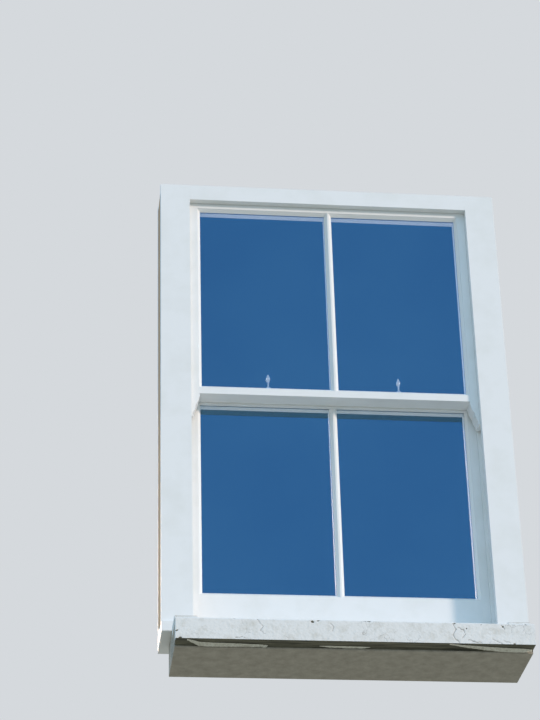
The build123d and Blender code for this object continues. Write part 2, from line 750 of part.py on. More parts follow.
def fastener_arm():
    half = arm_eye_thick / 2
    eye = rod_x(-half, half, pivot_y, pivot_z, arm_eye_radius)
    rod = Pos(0, pivot_y, pivot_z + arm_rod_end / 2) * Cylinder(arm_rod_diameter / 2, arm_rod_end)
    bore = arm_pin_diameter / 2 + running_clearance
    hole = rod_x(-half - cut_over, half + cut_over, pivot_y, pivot_z, bore)
    return eye + rod - hole


def acorn_nut():
    # Teardrop nut, blind-bored over the end of the arm.
    bore = arm_rod_diameter / 2 + running_clearance
    depth = arm_rod_end - nut_start + nut_bore_over
    neck = (nut_neck_radius, nut_neck_height)
    waist = (nut_waist_radius, nut_waist_height)
    tip_end = (nut_tip_radius, nut_length)
    lines = Polyline((0, 0), (nut_neck_radius, 0), neck)
    belly = ThreePointArc(neck, (nut_radius, nut_belly_height), waist)
    tip = ThreePointArc(waist, (nut_taper_radius, nut_taper_height), tip_end)
    close = Polyline(tip_end, (0, nut_length), (0, 0))
    nut = revolve(Plane.XZ * make_face(lines + belly + tip + close), Axis.Z)
    nut = nut - Pos(0, 0, depth / 2) * Cylinder(bore, depth)
    return Pos(0, pivot_y, pivot_z + nut_start) * nut


def fastener_keep():
    # Plate with an open-topped fork on the lower meeting rail.
    plate = box(-keep_width / 2, keep_width / 2, keep_front, keep_back, 0, keep_thick)
    plate = fillet(plate.edges().filter_by(Axis.Z).group_by(Axis.Y)[-1], keep_round)
    fork_back = keep_front + fork_thick
    fork = box(-fork_width / 2, fork_width / 2, keep_front, fork_back, 0, fork_height)
    fork = fillet(fork.edges().filter_by(Axis.Y).group_by(Axis.Z)[-1], fork_round)
    slot_z = pivot_height - arm_rod_diameter / 2 - fork_floor_gap
    slot = box(-fork_slot / 2, fork_slot / 2, keep_front - cut_over, fork_back + cut_over,
               slot_z, fork_height + cut_over)
    keep = plate + fork - slot
    for x in keep_screw_columns():
        keep = keep - Pos(x, keep_screw_y, keep_thick) * screw()
    return Pos(0, 0, meeting_top) * keep


def keep_screw_columns():
    reach = keep_width / 2 - keep_screw_inset
    return (-reach, reach)


def sash_lift():
    # Hook lift: the fingers go up behind the lip.
    y0 = lower_back
    r_in, r_out = lift_finger_radius, lift_finger_radius + lift_thick
    centre_y = y0 + lift_thick + r_in
    z_hook = lift_height + lift_plate_height
    outer = ThreePointArc((y0, z_hook), (centre_y, z_hook + r_out), (centre_y + r_out, z_hook))
    lip = Polyline((centre_y + r_out, z_hook), (centre_y + r_out, z_hook - lift_lip),
                   (centre_y + r_in, z_hook - lift_lip), (centre_y + r_in, z_hook))
    inner = ThreePointArc((centre_y + r_in, z_hook), (centre_y, z_hook + r_in), (y0 + lift_thick, z_hook))
    plate = Polyline((y0 + lift_thick, z_hook), (y0 + lift_thick, lift_height),
                     (y0, lift_height), (y0, z_hook))
    lift = prism_x(outer + lip + inner + plate, -lift_width / 2, lift_width / 2)
    for z in lift_screw_rows():
        lift = lift - Pos(0, y0 + lift_thick, z) * Rot(-90, 0, 0) * screw()
    return lift


def lift_screw_rows():
    return (lift_height + lift_screw_low, lift_height + lift_plate_height - lift_screw_high)


def main():
    nodes = {}
    sill = timber_sill_blank()
    bead_left, bead_right, bead_head = parting_beads(sill)
    stile = pulley_stile_blank()
    slip = parting_slip()
    slips = slip + flipped(slip)
    housings = on_pulleys(pulley_housing)
    cavity = pulley_mortice()
    screws = []
    for y_mid in (upper_mid, lower_mid):
        stile = stile - Pos(-pulley_x, y_mid, pulley_z) * cavity
        for z in plate_screw_rows():
            one = Pos(-half_clear, y_mid, pulley_z + z) * Rot(0, 90, 0) * screw()
            screws.append(one)
    pocket = pocket_piece()
    pocket_y = (bead_back + lower_back - pocket_margin) / 2
    pocket_screw = Pos(-half_clear, pocket_y, pocket_bottom + pocket_screw_height) * Rot(0, 90, 0) * screw()
    screws.append(pocket_screw)
    for one in screws:
        stile = stile - one
    pocket = pocket - pocket_screw
    stile = stile - pocket_piece(pocket_kerf)
    sill = sill - stile - flipped(stile)
    stile = stile - bead_left
    outer_left, outer_head, inner_left, inner_head, back_left = linings(stile, sill)
    staff_left, staff_right, staff_head, staff_sill = staff_beads()

    nodes["stone_sill"] = stone_sill()
    nodes["timber_sill"] = sill
    nodes["pulley_stile_left"] = stile
    nodes["pulley_stile_right"] = flipped(stile)
    nodes["head_board"] = head_board(stile, bead_head, slips)
    nodes["outside_lining_left"] = outer_left
    nodes["outside_lining_right"] = flipped(outer_left)
    nodes["outside_lining_head"] = outer_head
    nodes["inside_lining_left"] = inner_left
    nodes["inside_lining_right"] = flipped(inner_left)
    nodes["inside_lining_head"] = inner_head
    nodes["back_linings"] = group([back_left, flipped(back_left)])
    nodes["parting_bead_left"] = bead_left
    nodes["parting_bead_right"] = bead_right
    nodes["parting_bead_head"] = bead_head
    nodes["parting_slips"] = group([slip, flipped(slip)])
    nodes["staff_bead_left"] = staff_left
    nodes["staff_bead_right"] = staff_right
    nodes["staff_bead_head"] = staff_head
    nodes["staff_bead_sill"] = staff_sill
    nodes["pocket_pieces"] = group([pocket, flipped(pocket)])
    nodes["pulley_housings"] = group(housings)
    nodes["pulley_pins"] = group(on_pulleys(pulley_pin))
    nodes["frame_screws"] = group(screws + [flipped(one) for one in screws])

    for name, y_mid in (("upper", upper_mid), ("lower", lower_mid)):
        wheel = Pos(-pulley_x, y_mid, pulley_z) * pulley_wheel()
        nodes[name + "_pulley_wheel_left"] = wheel
        nodes[name + "_pulley_wheel_right"] = flipped(wheel)
    lower_weight_top = pulley_z - weight_high
    upper_weight_top = lower_weight_top - sash_travel
    for name, y_mid, top, length, knot in (
            ("upper", upper_mid, upper_weight_top, upper_weight_length, upper_top - upper_knot_drop),
            ("lower", lower_mid, lower_weight_top, lower_weight_length, meeting_top - lower_knot_drop)):
        left = weight(y_mid, top, length)
        nodes[name + "_weight_left"] = left
        nodes[name + "_weight_right"] = flipped(left)
        left_cord = cord(y_mid, knot, top)
        nodes[name + "_cords"] = group([left_cord, flipped(left_cord)])

    upper = upper_sash_frame()
    base_screws = []
    for x in (-fastener_spacing / 2, fastener_spacing / 2):
        for dx in base_screw_columns():
            base_screws.append(Pos(x + dx, pivot_y, meeting_top + base_thick) * screw())
    for one in base_screws:
        upper["upper_meeting_rail"] = upper["upper_meeting_rail"] - one
    nodes.update(upper)
    panes = sash_glass(upper_front, meeting_top, upper_top - top_rail_height)
    nodes["upper_pane_left"], nodes["upper_pane_right"], nodes["upper_putty"] = panes
    nodes["fastener_bases"] = group(at_fasteners(fastener_base()))
    nodes["fastener_pins"] = group(at_fasteners(fastener_pin()))
    nodes["base_screws"] = group(base_screws)

    lower = lower_sash_frame()
    lower_screws = []
    for x in (-fastener_spacing / 2, fastener_spacing / 2):
        for dx in keep_screw_columns():
            one = Pos(x + dx, keep_screw_y, meeting_top + keep_thick) * screw()
            lower["lower_meeting_rail"] = lower["lower_meeting_rail"] - one
            lower_screws.append(one)
        for z in lift_screw_rows():
            one = Pos(x, lower_back + lift_thick, z) * Rot(-90, 0, 0) * screw()
            lower["lower_bottom_rail"] = lower["lower_bottom_rail"] - one
            lower_screws.append(one)
    nodes.update(lower)
    panes = sash_glass(lower_front, lower_sight, lower_bottom_line, open_top=True)
    nodes["lower_pane_left"], nodes["lower_pane_right"], nodes["lower_putty"] = panes
    nodes["fastener_keeps"] = group(at_fasteners(fastener_keep()))
    nodes["sash_lifts"] = group(at_fasteners(sash_lift()))
    nodes["lower_sash_screws"] = group(lower_screws)
    for side, arm, nut in zip(("left", "right"), at_fasteners(fastener_arm()), at_fasteners(acorn_nut())):
        nodes["fastener_arm_" + side] = arm
        nodes["acorn_nut_" + side] = nut

    os.makedirs("parts", exist_ok=True)
    for name, part in nodes.items():
        export_step(part, "parts/" + name + ".step")
    print(len(nodes), "nodes")


main()
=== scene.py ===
import json
import math

import bmesh
import bpy
from mathutils import Matrix, Vector, noise
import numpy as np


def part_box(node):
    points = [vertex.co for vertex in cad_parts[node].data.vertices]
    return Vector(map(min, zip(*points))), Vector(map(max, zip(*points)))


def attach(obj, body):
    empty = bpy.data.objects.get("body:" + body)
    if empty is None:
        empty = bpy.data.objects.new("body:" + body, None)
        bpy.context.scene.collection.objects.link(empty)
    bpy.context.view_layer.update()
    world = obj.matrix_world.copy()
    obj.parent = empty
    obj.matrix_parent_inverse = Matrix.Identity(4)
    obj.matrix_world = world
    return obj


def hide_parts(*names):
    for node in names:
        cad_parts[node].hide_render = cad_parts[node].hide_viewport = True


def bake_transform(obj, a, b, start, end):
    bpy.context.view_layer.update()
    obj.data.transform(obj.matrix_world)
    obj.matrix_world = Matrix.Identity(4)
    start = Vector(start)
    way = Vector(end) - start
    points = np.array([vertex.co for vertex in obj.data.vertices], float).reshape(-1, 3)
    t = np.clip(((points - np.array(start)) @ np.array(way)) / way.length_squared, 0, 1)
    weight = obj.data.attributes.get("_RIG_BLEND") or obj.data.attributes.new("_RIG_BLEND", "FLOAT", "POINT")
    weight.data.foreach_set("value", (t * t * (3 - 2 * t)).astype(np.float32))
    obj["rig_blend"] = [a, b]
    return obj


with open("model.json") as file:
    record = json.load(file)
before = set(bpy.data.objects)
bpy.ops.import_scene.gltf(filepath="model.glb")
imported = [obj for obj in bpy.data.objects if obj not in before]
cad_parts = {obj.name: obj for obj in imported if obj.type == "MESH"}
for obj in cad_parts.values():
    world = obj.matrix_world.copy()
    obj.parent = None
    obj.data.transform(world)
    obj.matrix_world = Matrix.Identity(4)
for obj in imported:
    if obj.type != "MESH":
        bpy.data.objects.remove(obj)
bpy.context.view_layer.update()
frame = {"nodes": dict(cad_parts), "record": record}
nodes = frame["nodes"]
slotOf = {row["node"]: row["material_slot"] for row in frame["record"]["subparts"]}
print("frame loaded:", len(nodes), "nodes")

mm = 0.001


def linear(hexText):
    parts = [int(hexText[i:i + 2], 16) / 255 for i in (0, 2, 4)]
    return tuple(v / 12.92 if v <= 0.04045 else ((v + 0.055) / 1.055) ** 2.4 for v in parts) + (1.0,)


def addNode(tree, kind, settings=None, inputs=None):
    node = tree.nodes.new(kind)
    for name, value in (settings or {}).items():
        setattr(node, name, value)
    for name, value in (inputs or {}).items():
        socket = node.inputs[name]
        if isinstance(value, bpy.types.NodeSocket):
            tree.links.new(value, socket)
        else:
            socket.default_value = value
    return node


def newMaterial(name):
    material = bpy.data.materials.new(name)
    material.use_nodes = True
    material.node_tree.nodes.clear()
    return material, material.node_tree


def objectPlace(tree):
    return addNode(tree, "ShaderNodeTexCoord").outputs["Object"]


def noiseAt(tree, place, scale, detail, roughness=0.5):
    return addNode(tree, "ShaderNodeTexNoise", None,
                   {"Vector": place, "Scale": scale, "Detail": detail,
                    "Roughness": roughness}).outputs["Fac"]


def ranged(tree, value, low=0.0, high=1.0, toLow=0.0, toHigh=1.0):
    # A value moved from one range to another, held at the ends.
    return addNode(tree, "ShaderNodeMapRange", None,
                   {"Value": value, "From Min": low, "From Max": high,
                    "To Min": toLow, "To Max": toHigh}).outputs[0]


def calculated(tree, operation, first, second):
    return addNode(tree, "ShaderNodeMath", {"operation": operation}, {0: first, 1: second}).outputs[0]


def mixedColour(tree, share, first, second):
    # Each colour is a hex text or a socket.
    first, second = (linear(c) if isinstance(c, str) else c for c in (first, second))
    return addNode(tree, "ShaderNodeMix", {"data_type": "RGBA"}, {0: share, 6: first, 7: second}).outputs[2]


def mixedShader(tree, share, first, second):
    return addNode(tree, "ShaderNodeMixShader", None,
                   {0: share, 1: first.outputs[0], 2: second.outputs[0]})


def relieved(tree, height, strength, distance, edgeRound=None):
    # Relief by a height, over edges that look rounded if a radius is given.
    inputs = {"Strength": strength, "Distance": distance, "Height": height}
    if edgeRound:
        inputs["Normal"] = addNode(tree, "ShaderNodeBevel", {"samples": 6}, {"Radius": edgeRound}).outputs[0]
    return addNode(tree, "ShaderNodeBump", None, inputs).outputs[0]


def principled(tree, colour, roughness, normal, **others):
    inputs = {"Base Color": colour, "Roughness": roughness, "Normal": normal, **others}
    return addNode(tree, "ShaderNodeBsdfPrincipled", None, inputs)


def setOutput(tree, shader):
    addNode(tree, "ShaderNodeOutputMaterial", None, {"Surface": shader.outputs[0]})


# Satin oil paint, brushed on joinery: an even white skin with fine strokes along the wood,
# which break up its soft shine, and edges that the paint has rounded.
satinPaint = {
    "colour": "EDEEEC",
    "thinColour": "E6E7E3",      # where the coat is thin over the undercoat
    "strokeWidth": 1.6 * mm,     # coarser than real brush marks, so that they show
    "strokeLength": 90 * mm,
    "edgeRound": 0.9 * mm,
    "roughness": 0.36,
    "relief": 0.12 * mm,
}


def makeSatinPaint(name, along):
    material, tree = newMaterial(name)
    place = objectPlace(tree)
    fine = 1 / (2 * satinPaint["strokeWidth"])
    slow = 1 / (2 * satinPaint["strokeLength"])
    scale = tuple(slow if axis == along else fine for axis in "XYZ")
    strokePlace = addNode(tree, "ShaderNodeMapping", None, {"Vector": place, "Scale": scale})
    strokes = noiseAt(tree, strokePlace.outputs[0], 1.0, 3.0, 0.55)
    thin = ranged(tree, noiseAt(tree, place, 9.0, 4.0, 0.6), 0.45, 0.75)
    colour = mixedColour(tree, thin, satinPaint["colour"], satinPaint["thinColour"])
    shine = ranged(tree, strokes, toLow=satinPaint["roughness"] - 0.06,
                   toHigh=satinPaint["roughness"] + 0.1)
    relief = relieved(tree, strokes, 0.5, satinPaint["relief"], satinPaint["edgeRound"])
    setOutput(tree, principled(tree, colour, shine, relief, IOR=1.48))
    return material


# Linseed putty under the same paint: smoother, pressed on with a knife, with long slow waves.
puttyPaint = {
    "colour": "EFF0EE",
    "waveLength": 35 * mm,
    "relief": 0.5 * mm,
    "edgeRound": 0.8 * mm,
    "roughness": 0.33,
}


def makePuttyPaint():
    material, tree = newMaterial("paintedPutty")
    waves = noiseAt(tree, objectPlace(tree), 1 / puttyPaint["waveLength"], 2.0)
    relief = relieved(tree, waves, 0.6, puttyPaint["relief"], puttyPaint["edgeRound"])
    shine = ranged(tree, waves, toLow=puttyPaint["roughness"] - 0.05, toHigh=puttyPaint["roughness"] + 0.08)
    setOutput(tree, principled(tree, linear(puttyPaint["colour"]), shine, relief, IOR=1.48))
    return material


# Window glass with a painted reflection of a clear sky: its blue is painted into a bright mirror over a dark room,
# with the slow waves of drawn glass, and a share that lets the room side show through.
windowGlass = {
    # Painted reflection: the pane's blues are the clear sky's reflection, not a tint of the glass.
    "paintedSkyReflection": "85C5F1",
    "paintedDeepSky": "76B8E9",      # painted reflection of the darker patches of the sky
    "clearShare": 0.66,          # of the pane as seen from outside, against the dark room
    "clearInside": 0.93,
    "waveLength": 160 * mm,
    "relief": 0.25 * mm,
    "roughness": 0.015,
}


def makeWindowGlass():
    material, tree = newMaterial("paintedSkyGlass")
    place = objectPlace(tree)
    waves = noiseAt(tree, place, 1 / windowGlass["waveLength"], 1.5)
    relief = relieved(tree, waves, 0.4, windowGlass["relief"])
    # Painted reflection: darker patches of sky, spread over the pane's colour.
    paintedSkyPatches = ranged(tree, noiseAt(tree, place, 1.6, 3.0), 0.35, 0.7)
    colour = mixedColour(tree, paintedSkyPatches, windowGlass["paintedSkyReflection"], windowGlass["paintedDeepSky"])
    mirror = principled(tree, colour, windowGlass["roughness"], relief, Metallic=1.0)
    clear = addNode(tree, "ShaderNodeBsdfRefraction", None, {"IOR": 1.0, "Roughness": 0.0})
    # A pane mirrors where a ray meets it from outside. From the room it is nearly clear.
    side = addNode(tree, "ShaderNodeNewGeometry")
    facing = addNode(tree, "ShaderNodeSeparateXYZ", None, {"Vector": side.outputs["Normal"]})
    inward = calculated(tree, "GREATER_THAN", facing.outputs["Y"], 0.0)
    passing = calculated(tree, "MAXIMUM", inward, side.outputs["Backfacing"])
    share = ranged(tree, passing, toLow=windowGlass["clearShare"], toHigh=windowGlass["clearInside"])
    setOutput(tree, mixedShader(tree, share, mirror, clear))
    return material


# Metals: dull brass cast and polished long ago, satin chrome plate, and sand-cast iron.
metals = {
    "dullBrass": {"colour": "A98B4C", "worn": "7F6636", "roughness": 0.38, "grain": 1.2 * mm,
                  "relief": 0.04 * mm},
    "satinChrome": {"colour": "F2F2EF", "worn": "C6C8C9", "roughness": 0.24, "grain": 0.9 * mm,
                    "relief": 0.02 * mm},
    "sandCastIron": {"colour": "3A3735", "worn": "5A4234", "roughness": 0.62, "grain": 1.5 * mm,
                     "relief": 0.5 * mm},
}
metalEdgeRound = 0.4 * mm


def makeMetal(name):
    made = metals[name]
    material, tree = newMaterial(name)
    place = objectPlace(tree)
    grain = noiseAt(tree, place, 1 / (2 * made["grain"]), 4.0, 0.6)
    tarnish = noiseAt(tree, place, 60.0, 5.0)
    colour = mixedColour(tree, ranged(tree, tarnish, 0.42, 0.68), made["colour"], made["worn"])
    shine = ranged(tree, tarnish, toLow=made["roughness"] - 0.08, toHigh=made["roughness"] + 0.16)
    relief = relieved(tree, grain, 0.6, made["relief"], metalEdgeRound)
    # Cast iron is as dull as its skin of rust and dirt.
    metallic = 0.0 if name == "sandCastIron" else 1.0
    setOutput(tree, principled(tree, colour, shine, relief, Metallic=metallic))
    return material


# Bare sawn redwood: pale bands of early wood and darker late wood along the board, with saw marks.
bareSoftwood = {
    "early": "CDAC80",
    "late": "A87C4E",
    "ringWidth": 1.7 * mm,
    "sawPitch": 2.2 * mm,
    "relief": 0.3 * mm,
}


def makeBareSoftwood():
    material, tree = newMaterial("bareSawnSoftwood")
    place = objectPlace(tree)
    stretch = addNode(tree, "ShaderNodeMapping", None, {"Vector": place, "Scale": (1.0, 1.0, 0.05)})
    rings = addNode(tree, "ShaderNodeTexWave", {"bands_direction": "DIAGONAL"},
                    {"Vector": stretch.outputs[0], "Scale": 1 / (20 * bareSoftwood["ringWidth"]),
                     "Distortion": 9.0, "Detail": 3.0, "Detail Scale": 6.0,
                     "Phase Offset": noiseAt(tree, stretch.outputs[0], 18.0, 3.0)})
    colour = mixedColour(tree, rings.outputs["Fac"], bareSoftwood["early"], bareSoftwood["late"])
    saw = addNode(tree, "ShaderNodeTexWave", {"bands_direction": "Z"},
                  {"Vector": place, "Scale": 1 / (20 * bareSoftwood["sawPitch"]), "Distortion": 1.5})
    relief = relieved(tree, saw.outputs["Fac"], 0.4, bareSoftwood["relief"])
    setOutput(tree, principled(tree, colour, 0.72, relief))
    return material


# Braided cotton sash cord, waxed: cream, matt, a little grey from use.
waxedCotton = {"colour": "D9D2BE", "grimy": "A89F88", "relief": 0.2 * mm}


def makeWaxedCotton():
    material, tree = newMaterial("waxedCottonCord")
    place = objectPlace(tree)
    colour = mixedColour(tree, noiseAt(tree, place, 22.0, 3.0), waxedCotton["colour"], waxedCotton["grimy"])
    relief = relieved(tree, noiseAt(tree, place, 900.0, 3.0), 0.5, waxedCotton["relief"])
    setOutput(tree, principled(tree, colour, 0.8, relief))
    return material


# Old masonry paint on stone: coats of white gone chalky, crazed and dirty in the cracks, worn
# through to grey-brown stone where the surface carries the attribute "bare".
agedPaint = {
    "colour": "E4E5E2",
    "stain": "C9C7BD",
    "crack": "6F695F",
    "stone": "BDB5A6",
    "stoneDark": "968E80",
    "grimeLight": "807C69",      # the underside, dark with soot and algae along the bedding
    "grimeDark": "45453B",
    "crazeSize": 26 * mm,
    "crackWidth": 0.013,         # share of a craze's size
    "coat": 1.1 * mm,            # thickness of the paint at a chip's edge
}


def makeAgedPaint():
    material, tree = newMaterial("crazedMasonryPaint")
    place = objectPlace(tree)
    bare, split, grime = (addNode(tree, "ShaderNodeAttribute", {"attribute_name": name}).outputs["Fac"]
                          for name in ("bare", "split", "grime"))
    # Crazing in some regions, and the splits
    wander = addNode(tree, "ShaderNodeTexNoise", None, {"Vector": place, "Scale": 45.0, "Detail": 4.0})
    bent = addNode(tree, "ShaderNodeVectorMath", {"operation": "MULTIPLY_ADD"},
                   {0: wander.outputs["Color"], 1: (0.016, 0.016, 0.016), 2: place})
    crazing = addNode(tree, "ShaderNodeTexVoronoi", {"feature": "DISTANCE_TO_EDGE"},
                      {"Vector": bent.outputs[0], "Scale": 1 / agedPaint["crazeSize"]})
    line = ranged(tree, crazing.outputs["Distance"], 0.0, agedPaint["crackWidth"], 1.0, 0.0)
    crazed = ranged(tree, noiseAt(tree, place, 14.0, 3.0), 0.55, 0.68)
    cracks = calculated(tree, "MAXIMUM", calculated(tree, "MULTIPLY", line, crazed), split)
    # Ragged edges of the paint around the bare stone
    raggedShift = ranged(tree, noiseAt(tree, place, 260.0, 4.0, 0.65), toLow=-0.24, toHigh=0.24)
    opened = ranged(tree, calculated(tree, "ADD", bare, raggedShift), 0.47, 0.53)
    stains = noiseAt(tree, place, 30.0, 6.0, 0.7)
    stained = ranged(tree, stains, 0.48, 0.78)
    paintColour = mixedColour(tree, stained, agedPaint["colour"], agedPaint["stain"])
    crackShade = calculated(tree, "MULTIPLY", cracks, 0.8)
    crackedColour = mixedColour(tree, crackShade, paintColour, agedPaint["crack"])
    # The stone, clean and grimy
    layers = addNode(tree, "ShaderNodeMapping", None, {"Vector": place, "Scale": (6.0, 60.0, 60.0)})
    bedShade = ranged(tree, noiseAt(tree, layers.outputs[0], 1.6, 7.0, 0.65), 0.36, 0.66)
    mottle = calculated(tree, "ADD", noiseAt(tree, place, 420.0, 4.0, 0.7), stains)
    cleanStone = mixedColour(tree, ranged(tree, mottle, 0.75, 1.3), agedPaint["stoneDark"],
                             agedPaint["stone"])
    grimyStone = mixedColour(tree, bedShade, agedPaint["grimeDark"], agedPaint["grimeLight"])
    stoneColour = mixedColour(tree, grime, cleanStone, grimyStone)
    colour = mixedColour(tree, opened, crackedColour, stoneColour)
    coat = calculated(tree, "SUBTRACT", 1.0, opened)
    lowered = calculated(tree, "SUBTRACT", coat, calculated(tree, "MULTIPLY", cracks, 0.7))
    height = addNode(tree, "ShaderNodeMath", {"operation": "MULTIPLY_ADD"},
                     {0: noiseAt(tree, place, 130.0, 6.0, 0.7), 1: 0.9, 2: lowered})
    relief = relieved(tree, height.outputs[0], 0.8, agedPaint["coat"])
    dullness = ranged(tree, opened, toLow=0.62, toHigh=0.92)
    setOutput(tree, principled(tree, colour, dullness, relief))
    return material


# Skins of the same old paint, seen from their cream underside
peeledPaint = {"colour": "DDD8C8", "dirty": "A79F8C", "relief": 0.6 * mm}


def makePeeledPaint():
    material, tree = newMaterial("peeledMasonryPaint")
    dirt = noiseAt(tree, objectPlace(tree), 140.0, 6.0, 0.7)
    colour = mixedColour(tree, ranged(tree, dirt, 0.45, 0.75), peeledPaint["colour"], peeledPaint["dirty"])
    relief = relieved(tree, dirt, 0.5, peeledPaint["relief"])
    setOutput(tree, principled(tree, colour, 0.7, relief))
    return material


uprightPaint = makeSatinPaint("satinPaintUpright", "Z")
levelPaint = makeSatinPaint("satinPaintLevel", "X")
puttyFinish = makePuttyPaint()
glassFinish = makeWindowGlass()
brassFinish = makeMetal("dullBrass")
chromeFinish = makeMetal("satinChrome")
ironFinish = makeMetal("sandCastIron")
softwoodFinish = makeBareSoftwood()
cottonFinish = makeWaxedCotton()
sillFinish = makeAgedPaint()
skinFinish = makePeeledPaint()
finishOf = {
    "painted_putty": puttyFinish,
    "window_glass": glassFinish,
    "brass": brassFinish,
    "satin_chrome": chromeFinish,
    "cast_iron": ironFinish,
    "bare_softwood": softwoodFinish,
    "sash_cord": cottonFinish,
    "old_paint_on_stone": sillFinish,
}
levelNodes = ("rail", "head", "sill")
for name, piece in nodes.items():
    finish = finishOf.get(slotOf[name])
    if finish is None:
        finish = levelPaint if any(word in name for word in levelNodes) else uprightPaint
    piece.data.materials.clear()
    piece.data.materials.append(finish)
print("finishes made")


def newPiece(name, points, faces, material, smooth=True):
    mesh = bpy.data.meshes.new(name)
    mesh.from_pydata([tuple(p) for p in points], [], faces)
    mesh.validate()
    for polygon in mesh.polygons:
        polygon.use_smooth = smooth
    mesh.materials.append(material)
    return newObject(name, mesh)


def newObject(name, data):
    piece = bpy.data.objects.new(name, data)
    bpy.context.scene.collection.objects.link(piece)
    return piece


# The stone sill, under its old paint
sill = {
    "columnStep": 1.8 * mm,
    "frontStep": 1.7 * mm,
    "underStep": 2.6 * mm,
    "topStep": 4.0 * mm,
    "hiddenStep": 12.0 * mm,
    "endRings": 30,
    "wave": 0.7 * mm,            # slow unevenness of the dressed faces
    "lump": 0.35 * mm,
    "edgeRound": 4.0 * mm,
    "chipDepth": 1.6 * mm,
    "splitDepth": 1.0 * mm,
    "waver": 3 * mm,             # of the edges of chips and splits
    "arris": 1.0 * mm,
    "riserLean": 3 * mm,         # of the step from the bed up to the nose's underside
    "paintShort": 4 * mm,        # an end's paint starts to stop this far in front of the bed
    "paintStop": 8 * mm,         # over which it stops
    "grimeBehind": 2 * mm,       # grime goes on this far behind the bed's front
    "wornFoot": (24 * mm, 16 * mm),   # an end's worn foot: its top, and over which it fades in
    "wearBehind": 15 * mm,       # wear goes on this far behind the seat's front
    "stoolSunk": 6 * mm,
    "stoolEdge": 1.2 * mm,
}
sillLow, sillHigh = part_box("stone_sill")
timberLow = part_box("timber_sill")[0]
faceTop = 0.070                  # top of the nose's front face
noseRise = 0.008
bedFront = -0.130                # of the stools too
seatFront = -0.040
seatTop = timberLow.z
stoolHalf = 0.426                # the stools stand outside this
endCentre = Vector((-0.050, 0.046))   # (y, z) that the rings of an end close on


def sampled(a, b, step):
    count = max(1, round((b - a).length / step))
    return [a.lerp(b, i / count) for i in range(count)]


def sillProfile():
    # Closed outline of the sill in (Y, Z), from the back of the nose's underside.
    front, back = sillLow.y, sillHigh.y
    r = sill["edgeRound"]
    slope = Vector((seatFront - front, seatTop - faceTop)).normalized()
    arris = sill["arris"]
    bedStart = Vector((bedFront - sill["riserLean"], noseRise))
    points = sampled(bedStart, Vector((front + arris, noseRise)), sill["underStep"])
    points += sampled(Vector((front + arris, noseRise)), Vector((front, noseRise + arris)), arris)
    points += sampled(Vector((front, noseRise + arris)), Vector((front, faceTop - r)), sill["frontStep"])
    corner = Vector((front, faceTop))
    start, end = corner + Vector((0, -r)), corner + slope * r
    points += [start.lerp(corner, t).lerp(corner.lerp(end, t), t) for t in (0.0, 0.25, 0.5, 0.75)]
    points += sampled(end, Vector((seatFront, seatTop)), sill["topStep"])
    points += sampled(Vector((seatFront, seatTop)), Vector((back, seatTop)), sill["hiddenStep"])
    points += sampled(Vector((back, seatTop)), Vector((back, 0)), sill["hiddenStep"])
    points += sampled(Vector((back, 0)), Vector((bedFront, 0)), sill["hiddenStep"])
    points += sampled(Vector((bedFront, 0)), bedStart, sill["frontStep"])
    return points


# Splits in the paint of the front face as (x, z) points in metres and a width, and chips as x, z, size
sillSplits = [
    ([(-0.268, 0.069), (-0.262, 0.056), (-0.252, 0.047), (-0.262, 0.036), (-0.250, 0.026)], 1.2 * mm),
    ([(0.262, 0.068), (0.272, 0.050), (0.262, 0.036), (0.268, 0.022), (0.280, 0.010)], 1.7 * mm),
    ([(0.276, 0.055), (0.292, 0.048), (0.296, 0.034), (0.288, 0.024)], 1.4 * mm),
    ([(0.303, 0.020), (0.322, 0.014), (0.340, 0.012)], 1.5 * mm),
    ([(0.370, 0.022), (0.384, 0.018), (0.398, 0.008)], 1.4 * mm),
    ([(0.400, 0.020), (0.418, 0.012)], 1.2 * mm),
    ([(0.396, 0.064), (0.404, 0.054)], 1.7 * mm),
    ([(-0.330, 0.012), (-0.312, 0.016), (-0.300, 0.012)], 1.2 * mm),
    ([(-0.07, 0.060), (-0.062, 0.048), (-0.066, 0.038)], 1.2 * mm),
]
sillChips = [
    (-0.330, 0.069, 3 * mm), (-0.268, 0.070, 4 * mm), (-0.250, 0.071, 3 * mm),
    (-0.120, 0.064, 4 * mm), (-0.104, 0.066, 3 * mm), (0.020, 0.070, 6 * mm), (0.034, 0.071, 5 * mm),
    (0.130, 0.069, 3 * mm), (0.268, 0.066, 4 * mm), (0.300, 0.052, 2 * mm),
    (0.342, 0.062, 2 * mm), (0.400, 0.060, 3 * mm), (-0.475, 0.010, 5 * mm),
    (-0.486, 0.030, 4 * mm), (0.430, 0.009, 3 * mm), (0.465, 0.069, 4 * mm),
]


def distanceToPath(x, z, path):
    best = 1.0
    for (x0, z0), (x1, z1) in zip(path, path[1:]):
        dx, dz = x1 - x0, z1 - z0
        t = max(0.0, min(1.0, ((x - x0) * dx + (z - z0) * dz) / (dx * dx + dz * dz)))
        best = min(best, math.hypot(x - x0 - t * dx, z - z0 - t * dz))
    return best


def frontWear(point, bare, rough):
    # Adds the chips and splits of the front face.
    split = 0.0
    x = point.x + sill["waver"] * noise.noise(point * 120)
    z = point.z + sill["waver"] * noise.noise(point * 120 + Vector((7, 0, 0)))
    for path, width in sillSplits:
        split = max(split, 1 - distanceToPath(x, z, path) / width)
    for cx, cz, size in sillChips:
        far = math.hypot(x - cx, (z - cz) * 1.6) / size + 0.5 * rough
        bare = max(bare, 1.25 - 0.75 * far)
    return bare, split


